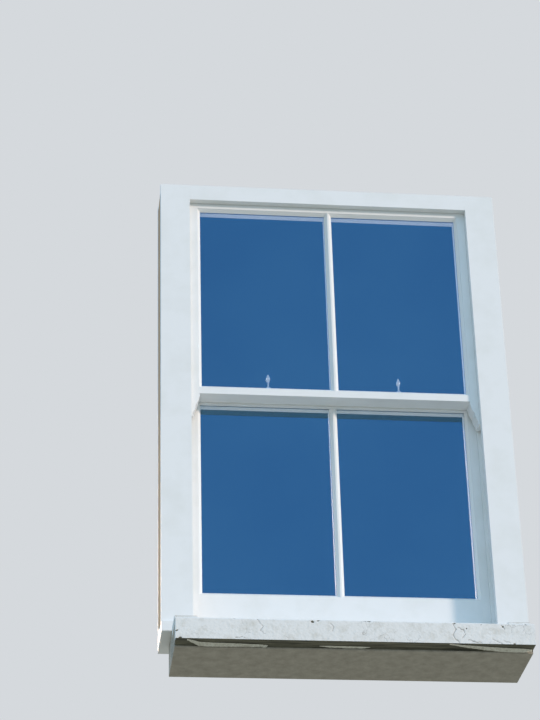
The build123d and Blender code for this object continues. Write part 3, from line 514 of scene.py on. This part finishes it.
def sillWear(point, outward):
    # (bare, split) at a point of the sill, each from 0 to 1.
    wander = noise.fractal(point * 90, 0.8, 2.0, 4)
    rough = noise.fractal(point * 400, 0.8, 2.0, 3)
    split = 0.0
    if outward.z < -0.5:
        # The underside has lost most of its paint.
        bare = 1.05 + 0.42 * wander + 0.1 * rough
    elif point.z < noseRise - 1.0 * mm or point.y > timberLow.y:
        bare = 1.0
    elif abs(outward.x) > 0.5:
        # The paint of an end stops raggedly where the end was built in.
        builtIn = (point.y - bedFront + sill["paintShort"]) / sill["paintStop"] + 0.8 * wander
        footTop, footFade = sill["wornFoot"]
        low = 0.5 * max(0.0, (footTop - point.z) / footFade)
        bare = max(0.1 + 0.4 * wander + 0.2 * rough + low, builtIn)
    elif outward.y < -0.3:
        bare, split = frontWear(point, 0.36 * wander + 0.2 * rough, rough)
    else:
        bare = 0.08 + 0.55 * wander + 0.3 * rough
    return max(0.0, min(1.0, bare)), max(0.0, min(1.0, split))


def wornPoint(point, outward):
    # Moves a point of the sill by its wear; returns the point with its three masks.
    if point.y > seatFront + sill["wearBehind"] or point.z < 0.5 * noseRise:
        return point, 1.0, 0.0, 0.0
    grime = 1.0 if point.y < bedFront + sill["grimeBehind"] else 0.0
    bare, split = sillWear(point, outward)
    slow = noise.noise(Vector((point.x * 9, point.y * 20, point.z * 20)))
    fine = noise.fractal(point * 160, 0.9, 2.0, 3)
    depth = sill["wave"] * (slow - 0.6) + sill["lump"] * (fine - 0.8)
    chipped = max(0.0, min(1.0, (bare - 0.42) * 5)) * (0.5 if outward.z < -0.5 else 1)
    depth -= sill["chipDepth"] * chipped + sill["splitDepth"] * split
    return point + outward * depth, bare, split, grime


def makeSill():
    profile = sillProfile()
    count = len(profile)
    columns = round((sillHigh.x - sillLow.x) / sill["columnStep"])
    outs = []
    for i, p in enumerate(profile):
        run = (profile[(i + 1) % count] - profile[i - 1]).normalized()
        outs.append(Vector((0, -run.y, run.x)))
    made, faces = [], []
    for c in range(columns + 1):
        x = sillLow.x + (sillHigh.x - sillLow.x) * c / columns
        made += [wornPoint(Vector((x, p.x, p.y)), out) for p, out in zip(profile, outs)]
    for c in range(columns):
        for i in range(count):
            j = (i + 1) % count
            faces.append((c * count + i, (c + 1) * count + i, (c + 1) * count + j, c * count + j))
    for x, outward, outer in ((sillLow.x, Vector((-1, 0, 0)), 0),
                              (sillHigh.x, Vector((1, 0, 0)), columns * count)):
        for ring in range(1, sill["endRings"]):
            first = len(made)
            share = ring / sill["endRings"]
            made += [wornPoint(Vector((x, *p.lerp(endCentre, share))), outward) for p in profile]
            faces += [(outer + i, outer + (i + 1) % count, first + (i + 1) % count, first + i)
                      for i in range(count)]
            outer = first
        faces.append(tuple(range(outer, outer + count)))
    piece = newPiece("stoneSill", [row[0] for row in made], faces, sillFinish)
    for column, name in ((1, "bare"), (2, "split"), (3, "grime")):
        values = [row[column] for row in made]
        piece.data.attributes.new(name, "FLOAT", "POINT").data.foreach_set("value", values)
    shape = bmesh.new()
    shape.from_mesh(piece.data)
    for side in (-1, 1):
        addStool(shape, side)
    bmesh.ops.recalc_face_normals(shape, faces=shape.faces)
    shape.to_mesh(piece.data)
    shape.free()
    for polygon in piece.data.polygons:
        polygon.use_smooth = True
    piece.data.set_sharp_from_angle(angle=math.radians(50))
    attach(piece, "frame")
    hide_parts("stone_sill")


def addStool(shape, side):
    # Block at the sill's end, bare on top where it was built over.
    old = set(shape.verts)
    bmesh.ops.create_cube(shape, size=1.0)
    corners = [v for v in shape.verts if v not in old]
    x0, x1 = sorted((side * stoolHalf, side * sillHigh.x))
    for v in corners:
        v.co.x = x0 if v.co.x < 0 else x1
        v.co.y = bedFront if v.co.y < 0 else seatFront
        v.co.z = faceTop - sill["stoolSunk"] if v.co.z < 0 else sillHigh.z
    edges = list({edge for v in corners for edge in v.link_edges})
    bmesh.ops.bevel(shape, geom=edges, offset=sill["stoolEdge"], segments=2, affect="EDGES")
    layer = shape.verts.layers.float["bare"]
    for v in shape.verts:
        if v not in old:
            v[layer] = 1.0 if v.co.z > sillHigh.z - 0.4 * mm else 0.1


makeSill()


# Skins of old paint that hang from the sill's underside. Each row: x, y of the line where the skin
# still holds, y and z of its loose edge.
paintSkins = {
    "left": [(-0.458, -0.169, -0.164, 0.0070), (-0.440, -0.162, -0.150, 0.0040),
             (-0.424, -0.152, -0.137, 0.0012), (-0.390, -0.148, -0.135, 0.0010),
             (-0.340, -0.146, -0.136, 0.0016), (-0.290, -0.143, -0.135, 0.0022),
             (-0.256, -0.141, -0.135, 0.0030), (-0.246, -0.139, -0.134, 0.0004),
             (-0.238, -0.137, -0.135, 0.0060)],
    "middle": [(-0.098, -0.139, -0.137, 0.0068), (-0.070, -0.141, -0.135, 0.0050),
               (-0.020, -0.140, -0.134, 0.0042), (0.020, -0.139, -0.134, 0.0046),
               (0.040, -0.137, -0.135, 0.0070)],
    "right": [(0.252, -0.170, -0.166, 0.0072), (0.300, -0.163, -0.153, 0.0050),
              (0.350, -0.156, -0.143, 0.0030), (0.400, -0.150, -0.136, 0.0012),
              (0.430, -0.148, -0.135, 0.0008), (0.460, -0.146, -0.135, 0.0006),
              (0.484, -0.142, -0.136, 0.0030)],
}
skinShape = {
    "thick": 0.7 * mm,
    "alongStep": 2.0 * mm,
    "across": 6,
    "ripple": 1.3 * mm,
    "hang": 0.3 * mm,            # below the stone where the skin still holds
    "lowest": 0.8 * mm,
}


def skinRow(rows, x):
    for (x0, *a), (x1, *b) in zip(rows, rows[1:]):
        if x <= x1:
            t = (x - x0) / (x1 - x0)
            return [u + (v - u) * t for u, v in zip(a, b)]
    return list(rows[-1][1:])


def makeSkins():
    points, faces = [], []
    across, top = skinShape["across"], noseRise - skinShape["hang"]
    for rows in paintSkins.values():
        x0, x1 = rows[0][0], rows[-1][0]
        count = round((x1 - x0) / skinShape["alongStep"])
        start = len(points)
        for i in range(count + 1):
            x = x0 + (x1 - x0) * i / count
            held, loose, low = skinRow(rows, x)
            ragged = skinShape["ripple"] * noise.fractal(Vector((x * 110, held, 3.1)), 0.8, 2.0, 4)
            low = max(skinShape["lowest"], low + ragged)
            for k in range(across + 1):
                t = k / across
                y = held + (loose - held) * t + 0.4 * ragged * t
                points.append(Vector((x, y, top + (low - top) * t * t)))
        for i in range(count):
            for k in range(across):
                a = start + i * (across + 1) + k
                faces.append((a, a + 1, a + across + 2, a + across + 1))
    piece = newPiece("paintSkins", points, faces, skinFinish)
    solid = piece.modifiers.new("thickness", "SOLIDIFY")
    solid.thickness = skinShape["thick"]
    solid.offset = 1.0
    bakeModifiers(piece)
    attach(piece, "frame")


def bakeModifiers(piece):
    bpy.context.view_layer.update()
    finished = bpy.data.meshes.new_from_object(piece.evaluated_get(bpy.context.evaluated_depsgraph_get()))
    piece.modifiers.clear()
    piece.data = finished


makeSkins()
print("sill and its loose paint built")


def newTree(name, inputs):
    # Geometry tree with an incoming geometry and the named inputs; returns the tree and its input node.
    tree = bpy.data.node_groups.new(name, "GeometryNodeTree")
    tree.interface.new_socket("Geometry", in_out="INPUT", socket_type="NodeSocketGeometry")
    for inputName, kind in inputs.items():
        tree.interface.new_socket(inputName, in_out="INPUT", socket_type=kind)
    tree.interface.new_socket("Geometry", in_out="OUTPUT", socket_type="NodeSocketGeometry")
    return tree, addNode(tree, "NodeGroupInput")


def finishTree(tree, geometry, material):
    # Ends a tree with real geometry, smooth, in the given material.
    realized = addNode(tree, "GeometryNodeRealizeInstances", None, {"Geometry": geometry})
    smooth = addNode(tree, "GeometryNodeSetShadeSmooth", None, {"Geometry": realized.outputs[0]})
    finish = addNode(tree, "GeometryNodeSetMaterial", None,
                     {"Geometry": smooth.outputs[0], "Material": material})
    output = addNode(tree, "NodeGroupOutput")
    tree.links.new(finish.outputs[0], output.inputs[0])


def grown(name, data, tree, values):
    # Runs a geometry tree on the data and returns the mesh object that it makes.
    carrier = newObject(name + "Base", data)
    modifier = carrier.modifiers.new("tree", "NODES")
    modifier.node_group = tree
    for item in tree.interface.items_tree:
        if item.in_out == "INPUT" and item.name in values:
            modifier[item.identifier] = values[item.name]
    bpy.context.view_layer.update()
    mesh = bpy.data.meshes.new_from_object(carrier.evaluated_get(bpy.context.evaluated_depsgraph_get()))
    bpy.data.objects.remove(carrier)
    mesh.name = name
    return newObject(name, mesh)


# Braided sash cords: eight strands each way around a core
cord = {
    "coreRadius": 2.35 * mm,
    "strandRadius": 0.75 * mm,
    "strandRing": 2.2 * mm,
    "strands": 8,
    "pitch": 30.0 * mm,
    "pointStep": 2.5 * mm,
    "arcPoints": 28,
    "wheelRadius": 25.0 * mm,    # of the cord's centre line
    "upperKnotDrop": 0.280,      # below the top of each sash
    "lowerKnotDrop": 0.200,
    "knotPulledUp": 2.1 * mm,
    "knotIn": 6.5 * mm,          # knot centre, inside the sash's edge
    "eyeDepth": 24.0 * mm,
    "knotSize": 1.15 * mm,
    "knotDepth": 2.4 * mm,
    "knotPoints": 36,
    "stillAtKnot": 12 * mm,      # length at a knot that moves with it and doesn't stretch
}


def makeBraidTree():
    tree, given = newTree("braidedCord", {"Pitch": "NodeSocketFloat"})
    even = addNode(tree, "GeometryNodeResampleCurve", {"mode": "LENGTH"},
                   {"Curve": given.outputs["Geometry"], "Length": cord["pointStep"]})
    along = addNode(tree, "GeometryNodeSplineParameter")
    turns = addNode(tree, "ShaderNodeMath", {"operation": "DIVIDE"},
                    {0: along.outputs["Length"], 1: given.outputs["Pitch"]})
    ring = addNode(tree, "GeometryNodeCurvePrimitiveCircle", None,
                   {"Resolution": cord["strands"], "Radius": cord["strandRing"]})
    strand = addNode(tree, "GeometryNodeCurvePrimitiveCircle", None,
                     {"Resolution": 6, "Radius": cord["strandRadius"]})
    around = addNode(tree, "GeometryNodeInstanceOnPoints", None,
                     {"Points": ring.outputs[0], "Instance": strand.outputs[0]})
    profile = addNode(tree, "GeometryNodeRealizeInstances", None, {"Geometry": around.outputs[0]})
    joined = addNode(tree, "GeometryNodeJoinGeometry")
    for turn in (2 * math.pi, -2 * math.pi):
        tilt = addNode(tree, "ShaderNodeMath", {"operation": "MULTIPLY"}, {0: turns.outputs[0], 1: turn})
        tilted = addNode(tree, "GeometryNodeSetCurveTilt", None,
                         {"Curve": even.outputs[0], "Tilt": tilt.outputs[0]})
        swept = addNode(tree, "GeometryNodeCurveToMesh", None,
                        {"Curve": tilted.outputs[0], "Profile Curve": profile.outputs[0]})
        tree.links.new(swept.outputs[0], joined.inputs[0])
    middle = addNode(tree, "GeometryNodeCurvePrimitiveCircle", None,
                     {"Resolution": 12, "Radius": cord["coreRadius"]})
    core = addNode(tree, "GeometryNodeCurveToMesh", None,
                   {"Curve": even.outputs[0], "Profile Curve": middle.outputs[0], "Fill Caps": True})
    tree.links.new(core.outputs[0], joined.inputs[0])
    finishTree(tree, joined.outputs[0], cottonFinish)
    return tree


def cordCurve(name, paths):
    # Poly curve with a spline for each path; a path is (points, closed).
    data = bpy.data.curves.new(name, "CURVE")
    data.dimensions = "3D"
    for points, closed in paths:
        spline = data.splines.new("POLY")
        spline.points.add(len(points) - 1)
        for target, point in zip(spline.points, points):
            target.co = (*point, 1.0)
        spline.use_cyclic_u = closed
    return data


def knotPath(centre):
    # Trefoil, drawn up into a ball.
    path = []
    for i in range(cord["knotPoints"]):
        t = 2 * math.pi * i / cord["knotPoints"]
        across = math.sin(t) + 2 * math.sin(2 * t)
        upward = math.cos(t) - 2 * math.cos(2 * t)
        path.append(centre + Vector((across * cord["knotSize"], -math.sin(3 * t) * cord["knotDepth"],
                                     upward * cord["knotSize"])))
    return path


def makeCords():
    tree = makeBraidTree()
    for level in ("upper", "lower"):
        for side in ("left", "right"):
            sashLow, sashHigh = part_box(level + "_stile_" + side)
            wheelLow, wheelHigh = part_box(level + "_pulley_wheel_" + side)
            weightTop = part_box(level + "_weight_" + side)[1].z
            wheel = (wheelLow + wheelHigh) / 2
            out = -1 if side == "left" else 1
            r = cord["wheelRadius"]
            onSash = wheel - Vector((out * r, 0, 0))
            onWeight = wheel + Vector((out * r, 0, 0))
            knotZ = sashHigh.z - cord[level + "KnotDrop"] + cord["knotPulledUp"]
            sashEdge = sashLow.x if side == "left" else sashHigh.x
            sashKnot = Vector((sashEdge - out * cord["knotIn"], wheel.y, knotZ))
            weightKnot = Vector((onWeight.x, wheel.y, weightTop - cord["eyeDepth"] - cord["knotIn"]))
            arc = []
            for i in range(cord["arcPoints"] + 1):
                t = math.pi * i / cord["arcPoints"]
                arc.append(wheel + Vector((-out * r * math.cos(t), 0, r * math.sin(t))))
            sashRun = [Vector((onSash.x, wheel.y, knotZ))] + arc
            sashPiece = grown(level + "CordToSash_" + side,
                              cordCurve("path", [(sashRun, False), (knotPath(sashKnot), True)]),
                              tree, {"Pitch": cord["pitch"]})
            weightPiece = grown(level + "CordToWeight_" + side,
                                cordCurve("path", [([onWeight, weightKnot], False),
                                                   (knotPath(weightKnot), True)]),
                                tree, {"Pitch": cord["pitch"]})
            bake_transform(sashPiece, "frame", level + "_sash", onSash, Vector((onSash.x, wheel.y, knotZ + 0.012)))
            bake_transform(weightPiece, "frame", level + "_weight_" + side, onWeight,
                     weightKnot + Vector((0, 0, 0.012)))
            for piece in (sashPiece, weightPiece):
                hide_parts(level + "_cords")


makeCords()
print("cords built")

# Slotted screws: one tree, with a point and a direction for each head
screwHead = {
    "radius": 3.5 * mm,
    "shankRadius": 1.8 * mm,
    "depth": 1.7 * mm,
    "slotWidth": 0.9 * mm,
    "slotDepth": 0.9 * mm,
    "proud": 0.15 * mm,
}
fittings = {
    "spacing": 0.390,            # between the two fasteners, and between the two lifts
    "plateReach": 50 * mm,       # screws of a pulley's face plate, from its centre
    "pocketScrew": (0.0965, 0.270),   # its y and z
    "baseColumns": (-16 * mm, 16 * mm),
    "keepColumns": (-6.5 * mm, 6.5 * mm),
    "keepRow": 7 * mm,           # in front of the keep's back edge
    "liftRows": (9 * mm, 28 * mm),
    "liftPlate": 3.5 * mm,       # thickness
}


def makeScrewTree(material):
    tree, given = newTree("slottedScrews", {})
    r = screwHead["radius"]
    head = addNode(tree, "GeometryNodeMeshCone", {"fill_type": "NGON"},
                   {"Vertices": 32, "Radius Top": r, "Radius Bottom": screwHead["shankRadius"],
                    "Depth": screwHead["depth"]})
    raised = addNode(tree, "GeometryNodeTransform", None,
                     {"Geometry": head.outputs["Mesh"],
                      "Translation": (0, 0, screwHead["proud"] - screwHead["depth"])})
    cutter = addNode(tree, "GeometryNodeMeshCube", None,
                     {"Size": (3 * r, screwHead["slotWidth"], 2 * screwHead["slotDepth"])})
    placed = addNode(tree, "GeometryNodeTransform", None,
                     {"Geometry": cutter.outputs["Mesh"], "Translation": (0, 0, screwHead["proud"])})
    slotted = addNode(tree, "GeometryNodeMeshBoolean", {"operation": "DIFFERENCE", "solver": "EXACT"},
                      {"Mesh 1": raised.outputs[0], "Mesh 2": placed.outputs[0]})
    facing = addNode(tree, "GeometryNodeInputNamedAttribute", {"data_type": "FLOAT_VECTOR"},
                     {"Name": "facing"})
    aimed = addNode(tree, "FunctionNodeAlignRotationToVector", {"axis": "Z"}, {"Vector": facing.outputs[0]})
    turn = addNode(tree, "FunctionNodeRandomValue", {"data_type": "FLOAT"}, {"Max": math.pi, "Seed": 4})
    spin = addNode(tree, "FunctionNodeAxisAngleToRotation", None,
                   {"Axis": (0, 0, 1), "Angle": turn.outputs[1]})
    turned = addNode(tree, "FunctionNodeRotateRotation", {"rotation_space": "LOCAL"},
                     {"Rotation": aimed.outputs[0], "Rotate By": spin.outputs[0]})
    heads = addNode(tree, "GeometryNodeInstanceOnPoints", None,
                    {"Points": given.outputs["Geometry"], "Instance": slotted.outputs["Mesh"],
                     "Rotation": turned.outputs[0]})
    finishTree(tree, heads.outputs[0], material)
    return tree


def makeScrews(name, places, material, body, node):
    mesh = bpy.data.meshes.new(name)
    mesh.from_pydata([tuple(place) for place, facing in places], [], [])
    values = [value for place, facing in places for value in facing]
    mesh.attributes.new("facing", "FLOAT_VECTOR", "POINT").data.foreach_set("vector", values)
    piece = grown(name, mesh, makeScrewTree(material), {})
    piece.data.set_sharp_from_angle(angle=math.radians(30))
    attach(piece, body)
    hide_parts(node)


def fittingColumns():
    return (-fittings["spacing"] / 2, fittings["spacing"] / 2)


def frameScrewPlaces():
    places = []
    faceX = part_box("pulley_stile_left")[1].x
    for out in (-1, 1):
        facing = (-out, 0, 0)
        for level in ("upper", "lower"):
            low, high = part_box(level + "_pulley_wheel_left")
            centre = (low + high) / 2
            for dz in (-fittings["plateReach"], fittings["plateReach"]):
                places.append((Vector((-out * faceX, centre.y, centre.z + dz)), facing))
        y, z = fittings["pocketScrew"]
        places.append((Vector((-out * faceX, y, z)), facing))
    return places


def baseScrewPlaces():
    low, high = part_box("fastener_bases")
    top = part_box("base_screws")[1].z
    return [(Vector((x + dx, (low.y + high.y) / 2, top)), (0, 0, 1))
            for x in fittingColumns() for dx in fittings["baseColumns"]]


def lowerScrewPlaces():
    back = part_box("fastener_keeps")[1].y
    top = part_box("lower_sash_screws")[1].z
    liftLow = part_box("sash_lifts")[0]
    plateY = liftLow.y + fittings["liftPlate"]
    places = [(Vector((x + dx, back - fittings["keepRow"], top)), (0, 0, 1))
              for x in fittingColumns() for dx in fittings["keepColumns"]]
    places += [(Vector((x, plateY, liftLow.z + dz)), (0, 1, 0))
               for x in fittingColumns() for dz in fittings["liftRows"]]
    return places


makeScrews("frameScrews", frameScrewPlaces(), brassFinish, "frame", "frame_screws")
makeScrews("baseScrews", baseScrewPlaces(), chromeFinish, "upper_sash", "base_screws")
makeScrews("lowerSashScrews", lowerScrewPlaces(), chromeFinish, "lower_sash", "lower_sash_screws")
print("screws built")

# The studio: sky and ground for the light and for what shiny surfaces mirror, a floor, a dark room
light = {
    "skyColour": "ADD3F2",
    "groundColour": "929896",
    "strength": 1.24,
    "backdropColour": "D5D9DD",
    "mirroredSky": "8BBFEF",         # what shiny surfaces reflect, from the zenith down to the ground
    "mirroredHorizon": "C9D6DF",
    "mirroredGround": "A9A59A",
    "floorColour": "EAD6C6",
    "roomShade": "141F2A",           # of the room, as seen through the panes
    "sunFrom": (0.75, -0.52, 0.25),
    "sunStrength": 2.25,
    "sunAngle": 7.0,                 # degrees, for soft shadows
    "sunColour": "FFE8D8",
    "roomFrom": (0.0, 0.95, 0.32),   # a weaker lamp on the room side
    "roomStrength": 1.3,
    "roomAngle": 20.0,
    "roomColour": "FFDEBC",
}
floorSize = {"reach": 30.0, "drop": 0.5 * mm}
roomCard = {
    "half": 1.6,                     # of its width
    "back": 0.5,                     # where it stands in the room
    "front": 0.047,                  # just behind the upper panes
    "foot": 0.02,
    "top": 3.4,
    "aboveRail": 1.5 * mm,           # the level card, over the lower edge of the upper sash's top rail
}


def hideFrom(piece, *rays):
    for ray in rays:
        setattr(piece, "visible_" + ray, False)


# Floor, seen from above only, so that it doesn't hide the window from below
floorMaterial, floorTree = newMaterial("studioFloor")
floorShade = addNode(floorTree, "ShaderNodeBsdfDiffuse", None, {"Color": linear(light["floorColour"])})
floorClear = addNode(floorTree, "ShaderNodeBsdfTransparent")
floorSide = addNode(floorTree, "ShaderNodeNewGeometry").outputs["Backfacing"]
setOutput(floorTree, mixedShader(floorTree, floorSide, floorShade, floorClear))
reach, depth = floorSize["reach"], -floorSize["drop"]
floor = newPiece("floor", [(-reach, -reach, depth), (reach, -reach, depth), (reach, reach, depth),
                           (-reach, reach, depth)], [(0, 1, 2, 3)], floorMaterial, False)
hideFrom(floor, "diffuse", "glossy", "transmission", "shadow")

# Dark cards behind and above the panes, for the unlit room: only rays that pass the glass meet them
cardMaterial, cardTree = newMaterial("roomShade")
cardShade = addNode(cardTree, "ShaderNodeEmission", None, {"Color": linear(light["roomShade"])})
cardClear = addNode(cardTree, "ShaderNodeBsdfTransparent")
# Half of the light on its way to a surface behind a pane passes the card.
bounced = addNode(cardTree, "ShaderNodeLightPath").outputs["Diffuse Depth"]
cardShare = calculated(cardTree, "MULTIPLY", bounced, 0.5)
setOutput(cardTree, mixedShader(cardTree, cardShare, cardShade, cardClear))
half, back, front = roomCard["half"], roomCard["back"], roomCard["front"]
foot, top = roomCard["foot"], roomCard["top"]
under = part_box("upper_top_rail")[0].z + roomCard["aboveRail"]
standing = [(-half, back, foot), (half, back, foot), (half, back, top), (-half, back, top)]
lying = [(-half, front, under), (half, front, under), (half, back, under), (-half, back, under)]
card = newPiece("roomShade", standing + lying, [(0, 1, 2, 3), (4, 5, 6, 7)], cardMaterial, False)
hideFrom(card, "camera", "diffuse", "glossy", "shadow")

# World: sky from above, warmer light from below, and a pale backdrop for what is seen
world = bpy.data.worlds.new("studio")
bpy.context.scene.world = world
world.use_nodes = True
worldTree = world.node_tree
worldTree.nodes.clear()
direction = addNode(worldTree, "ShaderNodeTexCoord")
parts = addNode(worldTree, "ShaderNodeSeparateXYZ", None, {"Vector": direction.outputs["Generated"]})


def byHeight(low, high, lowColour, highColour):
    # Colour that changes with the height of the direction looked in.
    return mixedColour(worldTree, ranged(worldTree, parts.outputs["Z"], low, high), lowColour, highColour)


def background(colour, strength):
    return addNode(worldTree, "ShaderNodeBackground", None, {"Color": colour, "Strength": strength})


skyTone = byHeight(-0.3, 0.5, light["groundColour"], light["skyColour"])
mirroredSky = byHeight(0.05, 0.40, light["mirroredHorizon"], light["mirroredSky"])
mirrored = byHeight(-0.04, 0.02, light["mirroredGround"], mirroredSky)
path = addNode(worldTree, "ShaderNodeLightPath")
litOrShiny = mixedShader(worldTree, path.outputs["Is Glossy Ray"],
                         background(skyTone, light["strength"]), background(mirrored, 1.0))
direct = calculated(worldTree, "MAXIMUM", path.outputs["Is Camera Ray"], path.outputs["Is Transmission Ray"])
worldMix = mixedShader(worldTree, direct, litOrShiny, background(linear(light["backdropColour"]), 1.0))
addNode(worldTree, "ShaderNodeOutputWorld", None, {"Surface": worldMix.outputs[0]})

for name in ("sun", "room"):
    lamp = bpy.data.lights.new(name, "SUN")
    lamp.energy = light[name + "Strength"]
    lamp.angle = math.radians(light[name + "Angle"])
    lamp.color = linear(light[name + "Colour"])[:3]
    lampObject = newObject(name, lamp)
    lampObject.matrix_world = Vector(light[name + "From"]).to_track_quat("Z", "Y").to_matrix().to_4x4()
print("lights set")

camera = {
    "place": (-0.9052, -5.7929, -2.3352),   # outside, well below the sill
    "yaw": 7.0,
    "pitch": 29.5,
    "roll": -1.6,
    "lens": 113.74,          # mm, on the 36 mm that the frame's height covers
    "sensor": 36.0,
    "nearest": 0.1,
    "farthest": 100.0,
}
cameraData = bpy.data.cameras.new("camera")
cameraData.sensor_width = camera["sensor"]
cameraData.lens = camera["lens"]
cameraData.clip_start = camera["nearest"]
cameraData.clip_end = camera["farthest"]
yaw, pitch, roll = (math.radians(camera[name]) for name in ("yaw", "pitch", "roll"))
ahead = Vector((math.sin(yaw) * math.cos(pitch), math.cos(yaw) * math.cos(pitch), math.sin(pitch)))
flat = Vector((math.cos(yaw), -math.sin(yaw), 0))
rise = flat.cross(ahead)
rightward = flat * math.cos(roll) + rise * math.sin(roll)
upward = rise * math.cos(roll) - flat * math.sin(roll)
turned = Matrix((rightward, upward, -ahead)).transposed().to_4x4()
cameraObject = newObject("camera", cameraData)
cameraObject.matrix_world = Matrix.Translation(camera["place"]) @ turned
bpy.context.scene.camera = cameraObject
bpy.context.scene.view_settings.view_transform = "Standard"
print("camera set")

bpy.context.view_layer.update()
